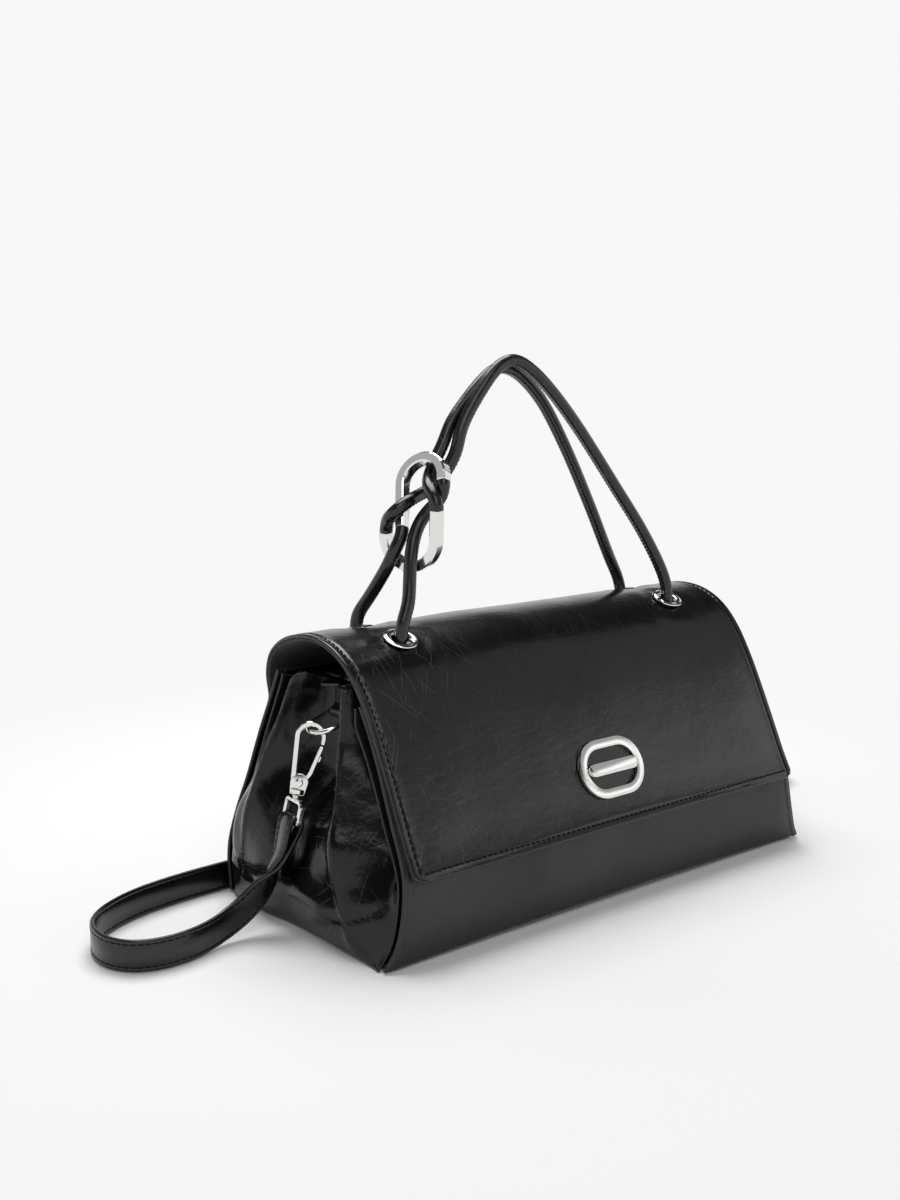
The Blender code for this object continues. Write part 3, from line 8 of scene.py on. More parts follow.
import logging
import math
from collections.abc import Callable, Iterable, Sequence
from dataclasses import dataclass, field
from enum import Enum

import bmesh
import bpy
import numpy as np
from mathutils import Matrix, Vector, noise

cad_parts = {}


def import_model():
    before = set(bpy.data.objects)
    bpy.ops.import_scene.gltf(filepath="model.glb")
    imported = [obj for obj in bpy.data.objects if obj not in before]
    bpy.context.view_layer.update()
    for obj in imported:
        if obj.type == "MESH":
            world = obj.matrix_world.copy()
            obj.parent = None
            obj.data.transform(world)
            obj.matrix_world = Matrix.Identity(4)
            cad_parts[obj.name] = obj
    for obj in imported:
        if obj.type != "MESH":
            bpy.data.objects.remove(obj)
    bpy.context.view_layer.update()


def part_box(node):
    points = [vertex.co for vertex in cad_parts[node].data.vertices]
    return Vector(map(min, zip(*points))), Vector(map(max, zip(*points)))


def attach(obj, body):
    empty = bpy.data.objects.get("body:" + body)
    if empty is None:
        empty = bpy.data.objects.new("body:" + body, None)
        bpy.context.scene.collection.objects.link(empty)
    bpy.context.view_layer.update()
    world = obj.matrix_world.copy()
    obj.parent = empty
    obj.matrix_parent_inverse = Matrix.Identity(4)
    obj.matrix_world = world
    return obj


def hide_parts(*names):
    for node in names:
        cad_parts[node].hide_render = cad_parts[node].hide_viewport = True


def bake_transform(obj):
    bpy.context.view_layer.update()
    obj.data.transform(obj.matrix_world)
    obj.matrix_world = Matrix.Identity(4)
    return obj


log = logging.getLogger("satchel")

# Clearance between pieces that lie against each other
GAP = 0.0003
# Length of one wave of a wave texture at scale one
WAVE_LENGTH = math.pi / 10
# Smallest length that a vector is divided by
TINY = 1e-12
# Angles in degrees over which an edge stays sharp: in general, on metal parts and on the finest pieces
SHARP, METAL_SHARP, FINE_SHARP = 50.0, 35.0, 30.0

Pair = tuple[float, float]
Triple = tuple[float, float, float]
Tone = Triple
Place = Triple
Route = tuple[Place, ...]
Waves = tuple[Triple, ...]
Shares = tuple[Pair, ...]
Outline = Sequence[Pair]
Mesh = bpy.types.Mesh
Material = bpy.types.Material
Socket = bpy.types.NodeSocket


class Body(Enum):
    """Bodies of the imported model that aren't named after a side."""

    BAG = "body"
    FLAP = "flap"
    SLIDER = "slider"


class Side(Enum):
    """The two ends of the bag, with their sign along X."""

    LEFT = -1
    RIGHT = 1

    @property
    def word(self) -> str:
        """Name of the side in lower case."""
        return self.name.lower()


# Lines and surfaces


def unit(vectors: np.ndarray) -> np.ndarray:
    """Scale vectors to length one.

    Args:
        vectors: Array whose last axis holds the vectors.

    Returns:
        The same directions at unit length.
    """
    length = np.linalg.norm(vectors, axis=-1, keepdims=True)
    return vectors / np.maximum(length, TINY)


def smooth_line(points: Sequence[Sequence[float]], steps: int = 8) -> np.ndarray:
    """Draw a centripetal Catmull-Rom curve through points.

    Args:
        points: The points that the curve passes.
        steps: Steps in each span.

    Returns:
        Points along the curve.
    """
    p = np.array([list(q) for q in points], float)
    nodes = np.vstack([2 * p[0] - p[1], p, 2 * p[-1] - p[-2]])
    line = []
    for a, b, c, d in zip(nodes, nodes[1:], nodes[2:], nodes[3:]):
        t1 = np.linalg.norm(b - a) ** 0.5
        t2 = t1 + np.linalg.norm(c - b) ** 0.5
        t3 = t2 + np.linalg.norm(d - c) ** 0.5
        t = (t1 + (t2 - t1) * np.arange(steps) / steps)[:, None]
        ab = a * (t1 - t) / t1 + b * t / t1
        bc = b * (t2 - t) / (t2 - t1) + c * (t - t1) / (t2 - t1)
        cd = c * (t3 - t) / (t3 - t2) + d * (t - t2) / (t3 - t2)
        abc = ab * (t2 - t) / t2 + bc * t / t2
        bcd = bc * (t3 - t) / (t3 - t1) + cd * (t - t1) / (t3 - t1)
        line.append(abc * (t2 - t) / (t2 - t1) + bcd * (t - t1) / (t2 - t1))
    return np.vstack([*line, p[-1:]])


def run_lengths(line: np.ndarray) -> np.ndarray:
    """Distance along a line at each of its points."""
    return np.concatenate([[0.0], np.cumsum(np.linalg.norm(np.diff(line, axis=0), axis=1))])


def at_lengths(line: np.ndarray, places: np.ndarray) -> np.ndarray:
    """Read a line at given distances along it."""
    runs = run_lengths(line)
    return np.stack([np.interp(places, runs, line[:, k]) for k in range(line.shape[1])], axis=1)


def evenly(line: np.ndarray, spacing: float) -> np.ndarray:
    """Read a line at even steps of about the given spacing."""
    total = run_lengths(line)[-1]
    return at_lengths(line, np.linspace(0, total, max(2, round(total / spacing)) + 1))


def graded(length: float, start: Sequence[float], end: Sequence[float], step: float) -> np.ndarray:
    """Places along a length, close together at its two ends.

    Args:
        length: The whole length.
        start: Distances of the first places from the start.
        end: Distances of the last places from the end.
        step: Largest step between them.

    Returns:
        Places in rising order.
    """
    low, high = max(start), length - max(end)
    middle = np.linspace(low, high, max(2, math.ceil((high - low) / step)) + 1)
    return np.unique(np.round(np.concatenate([start, middle, length - np.array(end)]), decimals=6))


def frame_of(origin: Sequence[float], across: Sequence[float], up: Sequence[float],
             along: Sequence[float]) -> Matrix:
    """Matrix with the given origin and axes."""
    axes = Matrix((Vector(across).normalized(), Vector(up).normalized(), Vector(along).normalized()))
    return Matrix.Translation(Vector(origin)) @ axes.transposed().to_4x4()


def arc(x: float, y: float, radius: float, start: float, sweep: float, steps: int) -> Outline:
    """Points of an arc.

    Args:
        x: Middle of the arc along the first axis.
        y: Middle of the arc along the second axis.
        radius: Radius of the arc.
        start: Angle of the first point in degrees.
        sweep: Degrees that the arc runs over.
        steps: Steps along the arc.

    Returns:
        Its points, the two ends among them.
    """
    angles = [math.radians(start + sweep * k / steps) for k in range(steps + 1)]
    return [(x + radius * math.cos(angle), y + radius * math.sin(angle)) for angle in angles]


def stadium(length: float, width: float, steps: int = 16) -> Outline:
    """Outline of a bar with round ends."""
    radius = width / 2
    reach = length / 2 - radius
    return arc(reach, 0, radius, -90, 180, steps) + arc(-reach, 0, radius, 90, 180, steps)


def circle(radius: float, sides: int) -> Outline:
    """Points of a circle."""
    return arc(0, 0, radius, 0, 360, sides)[:-1]


def soft_rectangle(width: float, height: float, radius: float, steps: int = 3) -> Outline:
    """Rectangle with round corners."""
    x, y = width / 2 - radius, height / 2 - radius
    points = []
    for sx, sy, start in ((1, -1, -90), (1, 1, 0), (-1, 1, 90), (-1, -1, 180)):
        points += arc(sx * x, sy * y, radius, start, 90, steps)
    return points


def chamfered(width: float, height: float, cut: float) -> Outline:
    """Rectangle with its corners cut."""
    x, y = width / 2, height / 2
    right = [(x - cut, -y), (x, -y + cut), (x, y - cut), (x - cut, y)]
    return right + [(-a, b) for a, b in reversed(right)]


def shrunk(outline: Outline, share: float) -> Outline:
    """Outline at a share of its size."""
    return [(x * share, y * share) for x, y in outline]


def eased_step(share: float | np.ndarray) -> float | np.ndarray:
    """Smooth step from zero to one."""
    return share * share * (3 - 2 * share)


def relaxed(line: np.ndarray, reach: float, held: Pair) -> np.ndarray:
    """Ease the bends of an evenly stepped line.

    Args:
        line: Evenly stepped points.
        reach: Length over which a bend is spread.
        held: Lengths at the start and end that stay as they are.

    Returns:
        The eased line.
    """
    step = run_lengths(line)[-1] / (len(line) - 1)
    first, last = (max(1, round(length / step)) for length in held)
    eased = line.copy()
    for _ in range(round(2 * (reach / step) ** 2)):
        before, here = eased[first - 1:-last - 1], eased[first:-last]
        after = np.roll(eased, -1, 0)[first:-last]
        eased[first:-last] = (before + 2 * here + after) / 4
    return eased


@dataclass
class Grid:
    """A leather sheet's outer face as rows and columns of points."""

    points: np.ndarray
    side: int = 1

    @classmethod
    def facing(cls, points: np.ndarray, axis: int) -> Grid:
        """Grid whose middle faces the positive way along an axis."""
        grid = cls(points)
        rows, cols = points.shape[:2]
        return grid if grid.normals()[rows // 2, cols // 2, axis] > 0 else cls(points, -1)

    def normals(self) -> np.ndarray:
        """Outward unit normals of the face."""
        down = np.gradient(self.points, axis=0)
        across = np.gradient(self.points, axis=1)
        return unit(np.cross(down, across)) * self.side

    def moved(self, heights: np.ndarray) -> Grid:
        """Shift each point along its normal."""
        return Grid(self.points + self.normals() * heights[..., None], self.side)

    def mirrored(self) -> Grid:
        """The same face at the other end of the bag."""
        return Grid(self.points * np.array([-1.0, 1.0, 1.0]), -self.side)

    def calm(self, reach: float) -> np.ndarray:
        """Share that rises from zero at the edges to one at a distance from them."""
        return np.clip(np.minimum.reduce(self.edge_distances()) / reach, 0, 1)

    def edge_distances(self) -> tuple[np.ndarray, np.ndarray, np.ndarray, np.ndarray]:
        """Distance of each point from the first row, last row, first column and last column."""
        rows = np.linalg.norm(np.diff(self.points, axis=0), axis=2)
        cols = np.linalg.norm(np.diff(self.points, axis=1), axis=2)
        first_row = np.vstack([np.zeros((1, rows.shape[1])), np.cumsum(rows, axis=0)])
        first_col = np.hstack([np.zeros((cols.shape[0], 1)), np.cumsum(cols, axis=1)])
        return first_row, first_row[-1:] - first_row, first_col, first_col[:, -1:] - first_col

    def solid(self, name: str, thickness: float, rim: int = 5, wear: np.ndarray | None = None) -> Mesh:
        """Give the sheet a thickness and round, painted edges.

        Args:
            name: Name of the mesh.
            thickness: Thickness of the leather.
            rim: Steps round its edge.
            wear: How worn each point of the face is; its highest values, on ridges, also paint a highlight.

        Returns:
            A closed mesh with material slots for face, back and edge.
        """
        rows, cols = self.points.shape[:2]
        normal = self.normals()
        down = unit(np.gradient(self.points, axis=0))
        across = unit(np.gradient(self.points, axis=1))
        out = np.zeros_like(self.points)
        out[0] -= down[0]
        out[-1] += down[-1]
        out[:, 0] -= across[:, 0]
        out[:, -1] += across[:, -1]
        out = np.where(np.linalg.norm(out, axis=2, keepdims=True) > 0.5, unit(out), out)
        radius = thickness / 2
        core = self.points - normal * radius - out * radius
        top = (core + normal * radius).reshape(-1, 3)
        back = (core - normal * radius).reshape(-1, 3)
        loop = [(0, j) for j in range(cols - 1)] + [(i, cols - 1) for i in range(rows - 1)]
        loop += [(rows - 1, j) for j in range(cols - 1, 0, -1)] + [(i, 0) for i in range(rows - 1, 0, -1)]
        flat = np.array([i * cols + j for i, j in loop])
        core_loop, normal_loop, out_loop = (a.reshape(-1, 3)[flat] for a in (core, normal, out))
        rings = [flat]
        places = [top, back]
        count = rows * cols
        for k in range(1, rim):
            angle = math.pi * k / rim
            places.append(core_loop + (normal_loop * math.cos(angle) + out_loop * math.sin(angle)) * radius)
            rings.append(2 * count + (k - 1) * len(flat) + np.arange(len(flat)))
        rings.append(flat + count)
        first = (np.arange(rows - 1)[:, None] * cols + np.arange(cols - 1)[None]).reshape(-1)
        quad = np.stack([first, first + cols, first + cols + 1, first + 1], axis=1)
        faces = [quad, quad[:, ::-1] + count]
        for a, b in zip(rings, rings[1:]):
            faces.append(np.stack([a, b, np.roll(b, -1), np.roll(a, -1)], axis=1))
        parts = [len(quad), len(quad), len(flat) * rim]
        mesh = mesh_of(name, np.vstack(places), np.vstack(faces), np.repeat([0, 1, 2], parts))
        # How worn each point is, with the painted highlight on ridges, goes to the leather as a point
        # attribute
        if wear is not None:
            mark_wear_and_highlight(mesh, wear.reshape(-1))
        return mesh


def mark_wear_and_highlight(mesh: Mesh, wear: np.ndarray) -> None:
    """Write how worn a mesh's first points are, for its leather to show; the highest values paint ridges
    paler, partly as a painted highlight.
    """
    values = np.zeros(len(mesh.vertices), np.float32)
    values[:len(wear)] = wear
    mesh.attributes.new("wear", "FLOAT", "POINT").data.foreach_set("value", values)


def mesh_of(name: str, places: np.ndarray, faces: Iterable[Sequence[int]],
            slots: np.ndarray | None = None, sharp: float = SHARP) -> Mesh:
    """Make a smooth-shaded mesh with outward faces.

    Args:
        name: Name of the mesh.
        places: Vertex positions.
        faces: Vertex numbers of each face.
        slots: Material slot of each face.
        sharp: Angle in degrees over which an edge stays sharp.

    Returns:
        The mesh.
    """
    mesh = bpy.data.meshes.new(name)
    mesh.from_pydata([tuple(map(float, p)) for p in places], [], [tuple(map(int, f)) for f in faces])
    if slots is not None:
        mesh.polygons.foreach_set("material_index", slots.astype(np.int32))
    bm = bmesh.new()
    bm.from_mesh(mesh)
    bmesh.ops.recalc_face_normals(bm, faces=bm.faces)
    bm.to_mesh(mesh)
    bm.free()
    mesh.shade_smooth()
    mesh.set_sharp_from_angle(angle=math.radians(sharp))
    return mesh


def tube_faces(size: int, count: int, closed: bool = False) -> list[tuple[int, ...]]:
    """Faces of a tube through rings of points.

    Args:
        size: Points in each ring.
        count: Number of rings.
        closed: Whether the last ring joins the first; if not, both ends get a face.

    Returns:
        Vertex numbers of each face.
    """
    faces = []
    for i in range(count if closed else count - 1):
        a, b = i * size, (i + 1) % count * size
        for k in range(size):
            m = (k + 1) % size
            faces.append((a + k, b + k, b + m, a + m))
    if not closed:
        faces += [tuple(range(size)), tuple(range((count - 1) * size, count * size))]
    return faces


def swept(name: str, frames: Sequence[Matrix], sections: Callable[[int], Outline],
          closed: bool = False, sharp: float = SHARP) -> Mesh:
    """Sweep a section along frames.

    Args:
        name: Name of the mesh.
        frames: Places and directions along the way.
        sections: Gives the section's (across, up) points at each frame.
        closed: Whether the last frame joins the first.
        sharp: Angle in degrees over which an edge stays sharp.

    Returns:
        A closed mesh.
    """
    places = []
    for index, frame in enumerate(frames):
        places += [frame @ Vector((x, y, 0)) for x, y in sections(index)]
    faces = tube_faces(len(places) // len(frames), len(frames), closed)
    return mesh_of(name, np.array(places), faces, sharp=sharp)


def frames_along(line: np.ndarray, across: Callable[[int], Vector], closed: bool = False) -> list[Matrix]:
    """Frames along a line whose X axis leans as asked."""
    frames = []
    count = len(line)
    for i in range(count):
        after = line[(i + 1) % count] if closed else line[min(i + 1, count - 1)]
        before = line[i - 1] if closed else line[max(i - 1, 0)]
        along = Vector(after - before).normalized()
        wanted = across(i)
        side = (wanted - along * wanted.dot(along)).normalized()
        frames.append(frame_of(line[i], side, along.cross(side), along))
    return frames


def turned(name: str, profile: Outline, frame: Matrix, sides: int = 48) -> Mesh:
    """Turn a profile round a frame's Z axis.

    Args:
        name: Name of the mesh.
        profile: Points as (radius, height), closed on itself or between two points on the axis.
        frame: Frame to turn it in.
        sides: Steps round the axis.

    Returns:
        A closed mesh.
    """
    places, rings, faces = [], [], []
    for radius, height in profile:
        count = sides if radius > 0 else 1
        rings.append([len(places) + k for k in range(count)])
        places += [frame @ Vector((x, y, height)) for x, y in circle(radius, count)]
    if profile[0][0] > 0:
        rings.append(rings[0])
    for a, b in zip(rings, rings[1:]):
        for k in range(sides):
            corners = (a[k % len(a)], a[(k + 1) % len(a)], b[(k + 1) % len(b)], b[k % len(b)])
            faces.append(tuple(dict.fromkeys(corners)))
    return mesh_of(name, np.array(places), faces, sharp=FINE_SHARP)


def drawn_in(points: np.ndarray, amount: float) -> np.ndarray:
    """Outline moved inwards by an amount."""
    ahead = np.roll(points, -1, axis=0) - np.roll(points, 1, axis=0)
    return points - unit(np.stack([ahead[:, 1], -ahead[:, 0]], axis=1)) * amount


def plate(name: str, frame: Matrix, outline: Outline, low: float, high: float, bevel: float,
          inner: Outline = (), knee: float = 0.3) -> Mesh:
    """Flat plate with softened edges and, where asked, an opening.

    Args:
        name: Name of the mesh.
        frame: Frame whose XY plane the plate lies along.
        outline: Outer outline.
        low: Height of its underside.
        high: Height of its top.
        bevel: Size of the soft edge.
        inner: Outline of the opening, with as many points as the outer one.
        knee: Share of the bevel at which its slope changes.

    Returns:
        A closed mesh.
    """
    outer = np.array(outline)
    steps = ((0.0, bevel), (knee * bevel, knee * bevel), (bevel, 0.0))
    levels = [(drawn_in(outer, b), low + a) for a, b in steps]
    levels += [(drawn_in(outer, b), high - a) for a, b in reversed(steps)]
    if len(inner):
        hole = np.array(inner)
        levels += [(drawn_in(hole, -b), high - a) for a, b in steps]
        levels += [(drawn_in(hole, -b), low + a) for a, b in reversed(steps)]
    places = [frame @ Vector((x, y, z)) for points, z in levels for x, y in points]
    faces = tube_faces(len(outer), len(levels), len(inner) > 0)
    return mesh_of(name, np.array(places), faces, sharp=METAL_SHARP)


# Finishes


@dataclass(frozen=True)
class Relief:
    """How strongly a height shows in a bump, and how deep it is."""

    strength: float
    depth: float


@dataclass(frozen=True)
class Scratches:
    """Thin, nearly straight scratches one way: a share of many parallel lines, in short runs."""

    pitch: float
    share: float
    turn: Triple
    wander: float = 8.0
    wander_scale: float = 0.15
    run_stretch: float = 0.10
    line_start: float = 0.95
    fade: float = 0.06


class Shader:
    """A Principled material and the nodes that feed it."""

    # Span in which most of a noise value lies
    noise_span = (0.3, 0.7)
    # Noise value over which nothing shows, and how far a share of one lowers it
    rare, lowered = 0.66, 0.2
    # Colour sockets of a mix node
    first_colour, second_colour = 6, 7

    def __init__(self, name: str) -> None:
        """Start a material."""
        self.material = bpy.data.materials.new(name)
        self.material.use_nodes = True
        self.tree = self.material.node_tree
        self.surface = self.tree.nodes["Principled BSDF"]
        self.where = self.tree.nodes.new("ShaderNodeTexCoord").outputs["Object"]

    def node(self, kind: str, **values: object) -> bpy.types.Node:
        """Add a node and set its inputs or properties by name."""
        made = self.tree.nodes.new("ShaderNode" + kind)
        for key, value in values.items():
            label = key.replace("_", " ").title()
            if label in made.inputs:
                made.inputs[label].default_value = value
            else:
                setattr(made, key, value)
        return made

    def texture(self, kind: str, where: Socket | None = None, **values: object) -> bpy.types.Node:
        """Add a texture node at the piece's own coordinates or at others."""
        made = self.node("Tex" + kind, **values)
        self.join(where or self.where, made.inputs["Vector"])
        return made

    def join(self, source: Socket, target: Socket) -> None:
        """Link two sockets."""
        self.tree.links.new(source, target)

    def feed(self, source: Socket, socket: str) -> None:
        """Link a socket to one of the surface's."""
        self.join(source, self.surface.inputs[socket])

    def stretched(self, scale: Sequence[float], turn: Sequence[float] = (0, 0, 0)) -> Socket:
        """Coordinates turned and then stretched."""
        turned_to = self.node("Mapping", rotation=turn)
        self.join(self.where, turned_to.inputs["Vector"])
        mapping = self.node("Mapping", scale=scale)
        self.join(turned_to.outputs["Vector"], mapping.inputs["Vector"])
        return mapping.outputs["Vector"]

    def noise(self, scale: float, detail: float = 4.0, where: Socket | None = None,
              distortion: float = 0.0) -> Socket:
        """Noise value at a scale."""
        return self.texture("Noise", where, scale=scale, detail=detail, distortion=distortion).outputs[0]

    def mapped(self, value: Socket, a: float, b: float, low: float, high: float) -> Socket:
        """Value mapped from one range to another, kept within it."""
        made = self.node("MapRange")
        for index, number in enumerate((a, b, low, high), 1):
            made.inputs[index].default_value = number
        self.join(value, made.inputs[0])
        return made.outputs[0]

    def between(self, value: Socket, low: float, high: float) -> Socket:
        """Noise value spread over a range."""
        return self.mapped(value, *self.noise_span, low, high)

    def shown(self, value: Socket, share: float, fade: float) -> Socket:
        """Where a noise value is high enough for a share of the surface to show."""
        start = self.rare - share * self.lowered
        return self.mapped(value, start, start + fade, 0.0, 1.0)

    def maths(self, operation: str, a: Socket, b: Socket | float) -> Socket:
        """Result of a sum on one or two values."""
        made = self.node("Math", operation=operation)
        self.join(a, made.inputs[0])
        if isinstance(b, float):
            made.inputs[1].default_value = b
        else:
            self.join(b, made.inputs[1])
        return made.outputs[0]

    def hairlines(self, scale: float, width: float, share: float, wander: float = 0.15,
                  patch_share: float = 0.35, fade: float = 0.08) -> Socket:
        """Thin wandering lines that show on a share of the surface."""
        middle = self.maths("SUBTRACT", self.noise(scale, 1.0, None, wander), 0.5)
        away = self.maths("ABSOLUTE", middle, 0.0)
        patch = self.shown(self.noise(scale * patch_share, 2.0), share, fade)
        return self.maths("MULTIPLY", self.mapped(away, 0.0, width, 1.0, 0.0), patch)

    def scratches(self, kind: Scratches) -> Socket:
        """One set of scratches."""
        lines = self.texture("Wave", self.stretched((1.0, 1.0, 1.0), kind.turn), detail=1.0,
                             scale=WAVE_LENGTH / kind.pitch, distortion=kind.wander,
                             detail_scale=kind.wander_scale).outputs[1]
        stretch = (1.0, kind.run_stretch, kind.run_stretch)
        runs = self.noise(1 / kind.pitch, 1.0, self.stretched(stretch, kind.turn))
        return self.maths("MULTIPLY", self.mapped(lines, kind.line_start, 1.0, 0.0, 1.0),
                          self.shown(runs, kind.share, kind.fade))

    def bump(self, height: Socket, relief: Relief, below: Socket | None = None) -> Socket:
        """Bump from a height, laid over another."""
        made = self.node("Bump", strength=relief.strength, distance=relief.depth)
        self.join(height, made.inputs["Height"])
        if below is not None:
            self.join(below, made.inputs["Normal"])
        return made.outputs["Normal"]

    def blended(self, factor: Socket, dark: Tone | Socket, light: Tone) -> Socket:
        """Colour between two others."""
        mix = self.node("Mix", data_type="RGBA")
        if isinstance(dark, tuple):
            mix.inputs[self.first_colour].default_value = (*dark, 1)
        else:
            self.join(dark, mix.inputs[self.first_colour])
        mix.inputs[self.second_colour].default_value = (*light, 1)
        self.join(factor, mix.inputs[0])
        return mix.outputs[2]

    def colour(self, factor: Socket, dark: Tone | Socket, light: Tone) -> None:
        """Mix two colours into the base colour."""
        self.feed(self.blended(factor, dark, light), "Base Color")

    def settle(self, **values: float) -> Material:
        """Set the surface's own sockets and return the material."""
        for key, value in values.items():
            self.surface.inputs[key.replace("_", " ").title().replace("Ior", "IOR")].default_value = value
        return self.material


def times(tone: Tone, factor: float) -> Tone:
    """Tone made lighter or darker by a factor."""
    return tuple(factor * part for part in tone)


@dataclass(frozen=True)
class Leather:
    """Glazed pull-up leather with a fine grain, creases and scratches, and ridges painted paler: partly worn,
    partly a painted highlight.
    """

    name: str
    dark: Tone = (0.0025, 0.0025, 0.0028)
    scuffed: Tone = (0.095, 0.095, 0.097)
    # Paler tone of worn ridges, which also stands in for the highlight they catch: partly worn leather,
    # partly painted highlight
    rubbed_highlight: Tone = (0.120, 0.118, 0.115)
    smooth: float = 0.19
    dull: float = 0.27
    grain: float = 1100.0
    wrinkle: float = 1.0
    sound_share: float = 0.12
    scuff_share: float = 0.62
    # How far the worn ridges go towards that paler tone, partly a painted highlight
    rub_highlight_share: float = 0.80
    scuff_gloss: float = 0.14
    rub_gloss: float = 0.15
    coat: float = 0.10
    coat_gloss: float = 0.12
    ior: float = 1.5
    wave_scale: float = 26.0
    wave_bend: float = 0.4
    pucker_scale: float = 330.0
    pucker_bend: float = 0.5
    pucker_stretch: Triple = (0.4, 1.0, 0.7)
    pore_scale_share: float = 0.45
    # Patches of the paler ridge tone, partly worn leather, partly painted highlight
    rub_highlight_scale: float = 420.0
    rub_highlight_span: Pair = (0.4, 0.62)
    rub_highlight_least: float = 0.1
    scuffed_wear: Pair = (0.1, 0.6)
    # How worn a point must be for the paler ridge tone, partly a painted highlight, to come in
    rubbed_wear: Pair = (0.65, 1.0)
    scratches: tuple[Scratches, ...] = (
        Scratches(0.0019, 0.36, (0.0, 0.20, 0.10)), Scratches(0.0024, 0.20, (0.0, 0.75, -0.15)),
        Scratches(0.0022, 0.26, (0.0, -0.45, 0.20)))
    wave_relief: Relief = Relief(0.12, 0.0016)
    pucker_relief: Relief = Relief(0.30, 0.00045)
    pore_relief: Relief = Relief(0.25, 0.00014)
    grain_relief: Relief = Relief(0.18, 0.00009)
    scratch_relief: Relief = Relief(-0.25, 0.00015)

    def _wrinkled(self, relief: Relief) -> Relief:
        """Relief that grows with the leather's wrinkles."""
        return Relief(relief.strength * self.wrinkle, relief.depth)

    def make(self) -> Material:
        """Build the material."""
        s = Shader(self.name)
        # How worn each point is, read from the mesh; its highest values, on ridges, also paint a highlight
        wear = s.node("Attribute", attribute_name="wear").outputs["Fac"]
        grain = s.texture("Voronoi", scale=self.grain).outputs["Distance"]
        pores = s.noise(self.grain * self.pore_scale_share, 3.0)
        waves = s.noise(self.wave_scale, 2.0, None, self.wave_bend)
        puckers = s.noise(self.pucker_scale, 3.0, s.stretched(self.pucker_stretch), self.pucker_bend)
        lines, *others = [s.scratches(kind) for kind in self.scratches]
        for other in others:
            lines = s.maths("MAXIMUM", lines, other)
        lines = s.maths("MULTIPLY", lines, s.mapped(wear, *self.scuffed_wear, self.sound_share, 1.0))
        # Paler tone in patches where the leather is most worn, on its ridges: partly worn leather, partly
        # painted highlight
        patches = s.mapped(s.noise(self.rub_highlight_scale), *self.rub_highlight_span, self.rub_highlight_least, 1.0)
        rub = s.maths("MULTIPLY", s.mapped(wear, *self.rubbed_wear, 0.0, 1.0), patches)
        tone = s.blended(s.maths("MULTIPLY", lines, self.scuff_share), self.dark, self.scuffed)
        s.colour(s.maths("MULTIPLY", rub, self.rub_highlight_share), tone, self.rubbed_highlight)
        gloss = s.between(waves, self.smooth, self.dull)
        for dulled, amount in ((lines, self.scuff_gloss), (rub, self.rub_gloss)):
            gloss = s.maths("ADD", gloss, s.maths("MULTIPLY", dulled, amount))
        s.feed(gloss, "Roughness")
        normal = None
        for height, relief in ((waves, self._wrinkled(self.wave_relief)),
                               (puckers, self._wrinkled(self.pucker_relief)), (pores, self.pore_relief),
                               (grain, self.grain_relief), (lines, self.scratch_relief)):
            normal = s.bump(height, relief, normal)
        s.feed(normal, "Normal")
        return s.settle(coat_weight=self.coat, coat_roughness=self.coat_gloss, ior=self.ior)


@dataclass(frozen=True)
class Speckled:
    """Speckled dull material, such as edge paint or fibre board."""

    name: str
    tone: Tone
    contrast: float
    tone_scale: float
    gloss_scale: float
    relief_scale: float
    smooth: float
    dull: float
    ior: float = 1.5
    relief: Relief = Relief(0.4, 0.0002)

    def make(self) -> Material:
        """Build the material."""
        s = Shader(self.name)
        s.colour(s.noise(self.tone_scale), self.tone, times(self.tone, self.contrast))
        s.feed(s.between(s.noise(self.gloss_scale), self.smooth, self.dull), "Roughness")
        s.feed(s.bump(s.noise(self.relief_scale), self.relief), "Normal")
        return s.settle(ior=self.ior)


@dataclass(frozen=True)
class Metal:
    """Plated metal."""

    name: str
    tone: Tone = (0.80, 0.79, 0.77)
    smooth: float = 0.07
    dull: float = 0.15
    darkest: float = 0.93
    tone_scale: float = 90.0
    gloss_scale: float = 140.0
    hairline_scale: float = 420.0
    hairline_width: float = 0.02
    hairline_share: float = 0.6
    hairline_gloss: float = 0.1
    relief_scale: float = 60.0
    relief: Relief = Relief(0.12, 0.0004)

    def make(self) -> Material:
        """Build the material."""
        s = Shader(self.name)
        s.colour(s.noise(self.tone_scale), times(self.tone, self.darkest), self.tone)
        rub = s.hairlines(self.hairline_scale, self.hairline_width, self.hairline_share)
        gloss = s.between(s.noise(self.gloss_scale), self.smooth, self.dull)
        s.feed(s.maths("ADD", gloss, s.maths("MULTIPLY", rub, self.hairline_gloss)), "Roughness")
        s.feed(s.bump(s.noise(self.relief_scale), self.relief), "Normal")
        return s.settle(metallic=1.0)


@dataclass(frozen=True)
class Woven:
    """Woven cloth of fine threads."""

    name: str
    dark: Tone = (0.010, 0.010, 0.011)
    light: Tone = (0.024, 0.024, 0.025)
    pitch: float = 1500.0
    wave_turn: float = 6.28
    weave_share: float = 0.6
    tone_scale: float = 300.0
    gloss_scale: float = 200.0
    smooth: float = 0.62
    dull: float = 0.8
    sheen: float = 0.15
    relief: Relief = Relief(0.6, 0.0003)

    def make(self) -> Material:
        """Build the material."""
        s = Shader(self.name)
        scale = self.pitch / self.wave_turn
        threads = (s.texture("Wave", scale=scale, bands_direction=way) for way in ("X", "Z"))
        weave = s.maths("MULTIPLY", *(thread.outputs[1] for thread in threads))
        specks = s.maths("MULTIPLY", s.noise(self.tone_scale), 1 - self.weave_share)
        s.colour(s.maths("ADD", s.maths("MULTIPLY", weave, self.weave_share), specks), self.dark, self.light)
        s.feed(s.between(s.noise(self.gloss_scale), self.smooth, self.dull), "Roughness")
        s.feed(s.bump(weave, self.relief), "Normal")
        return s.settle(sheen_weight=self.sheen)


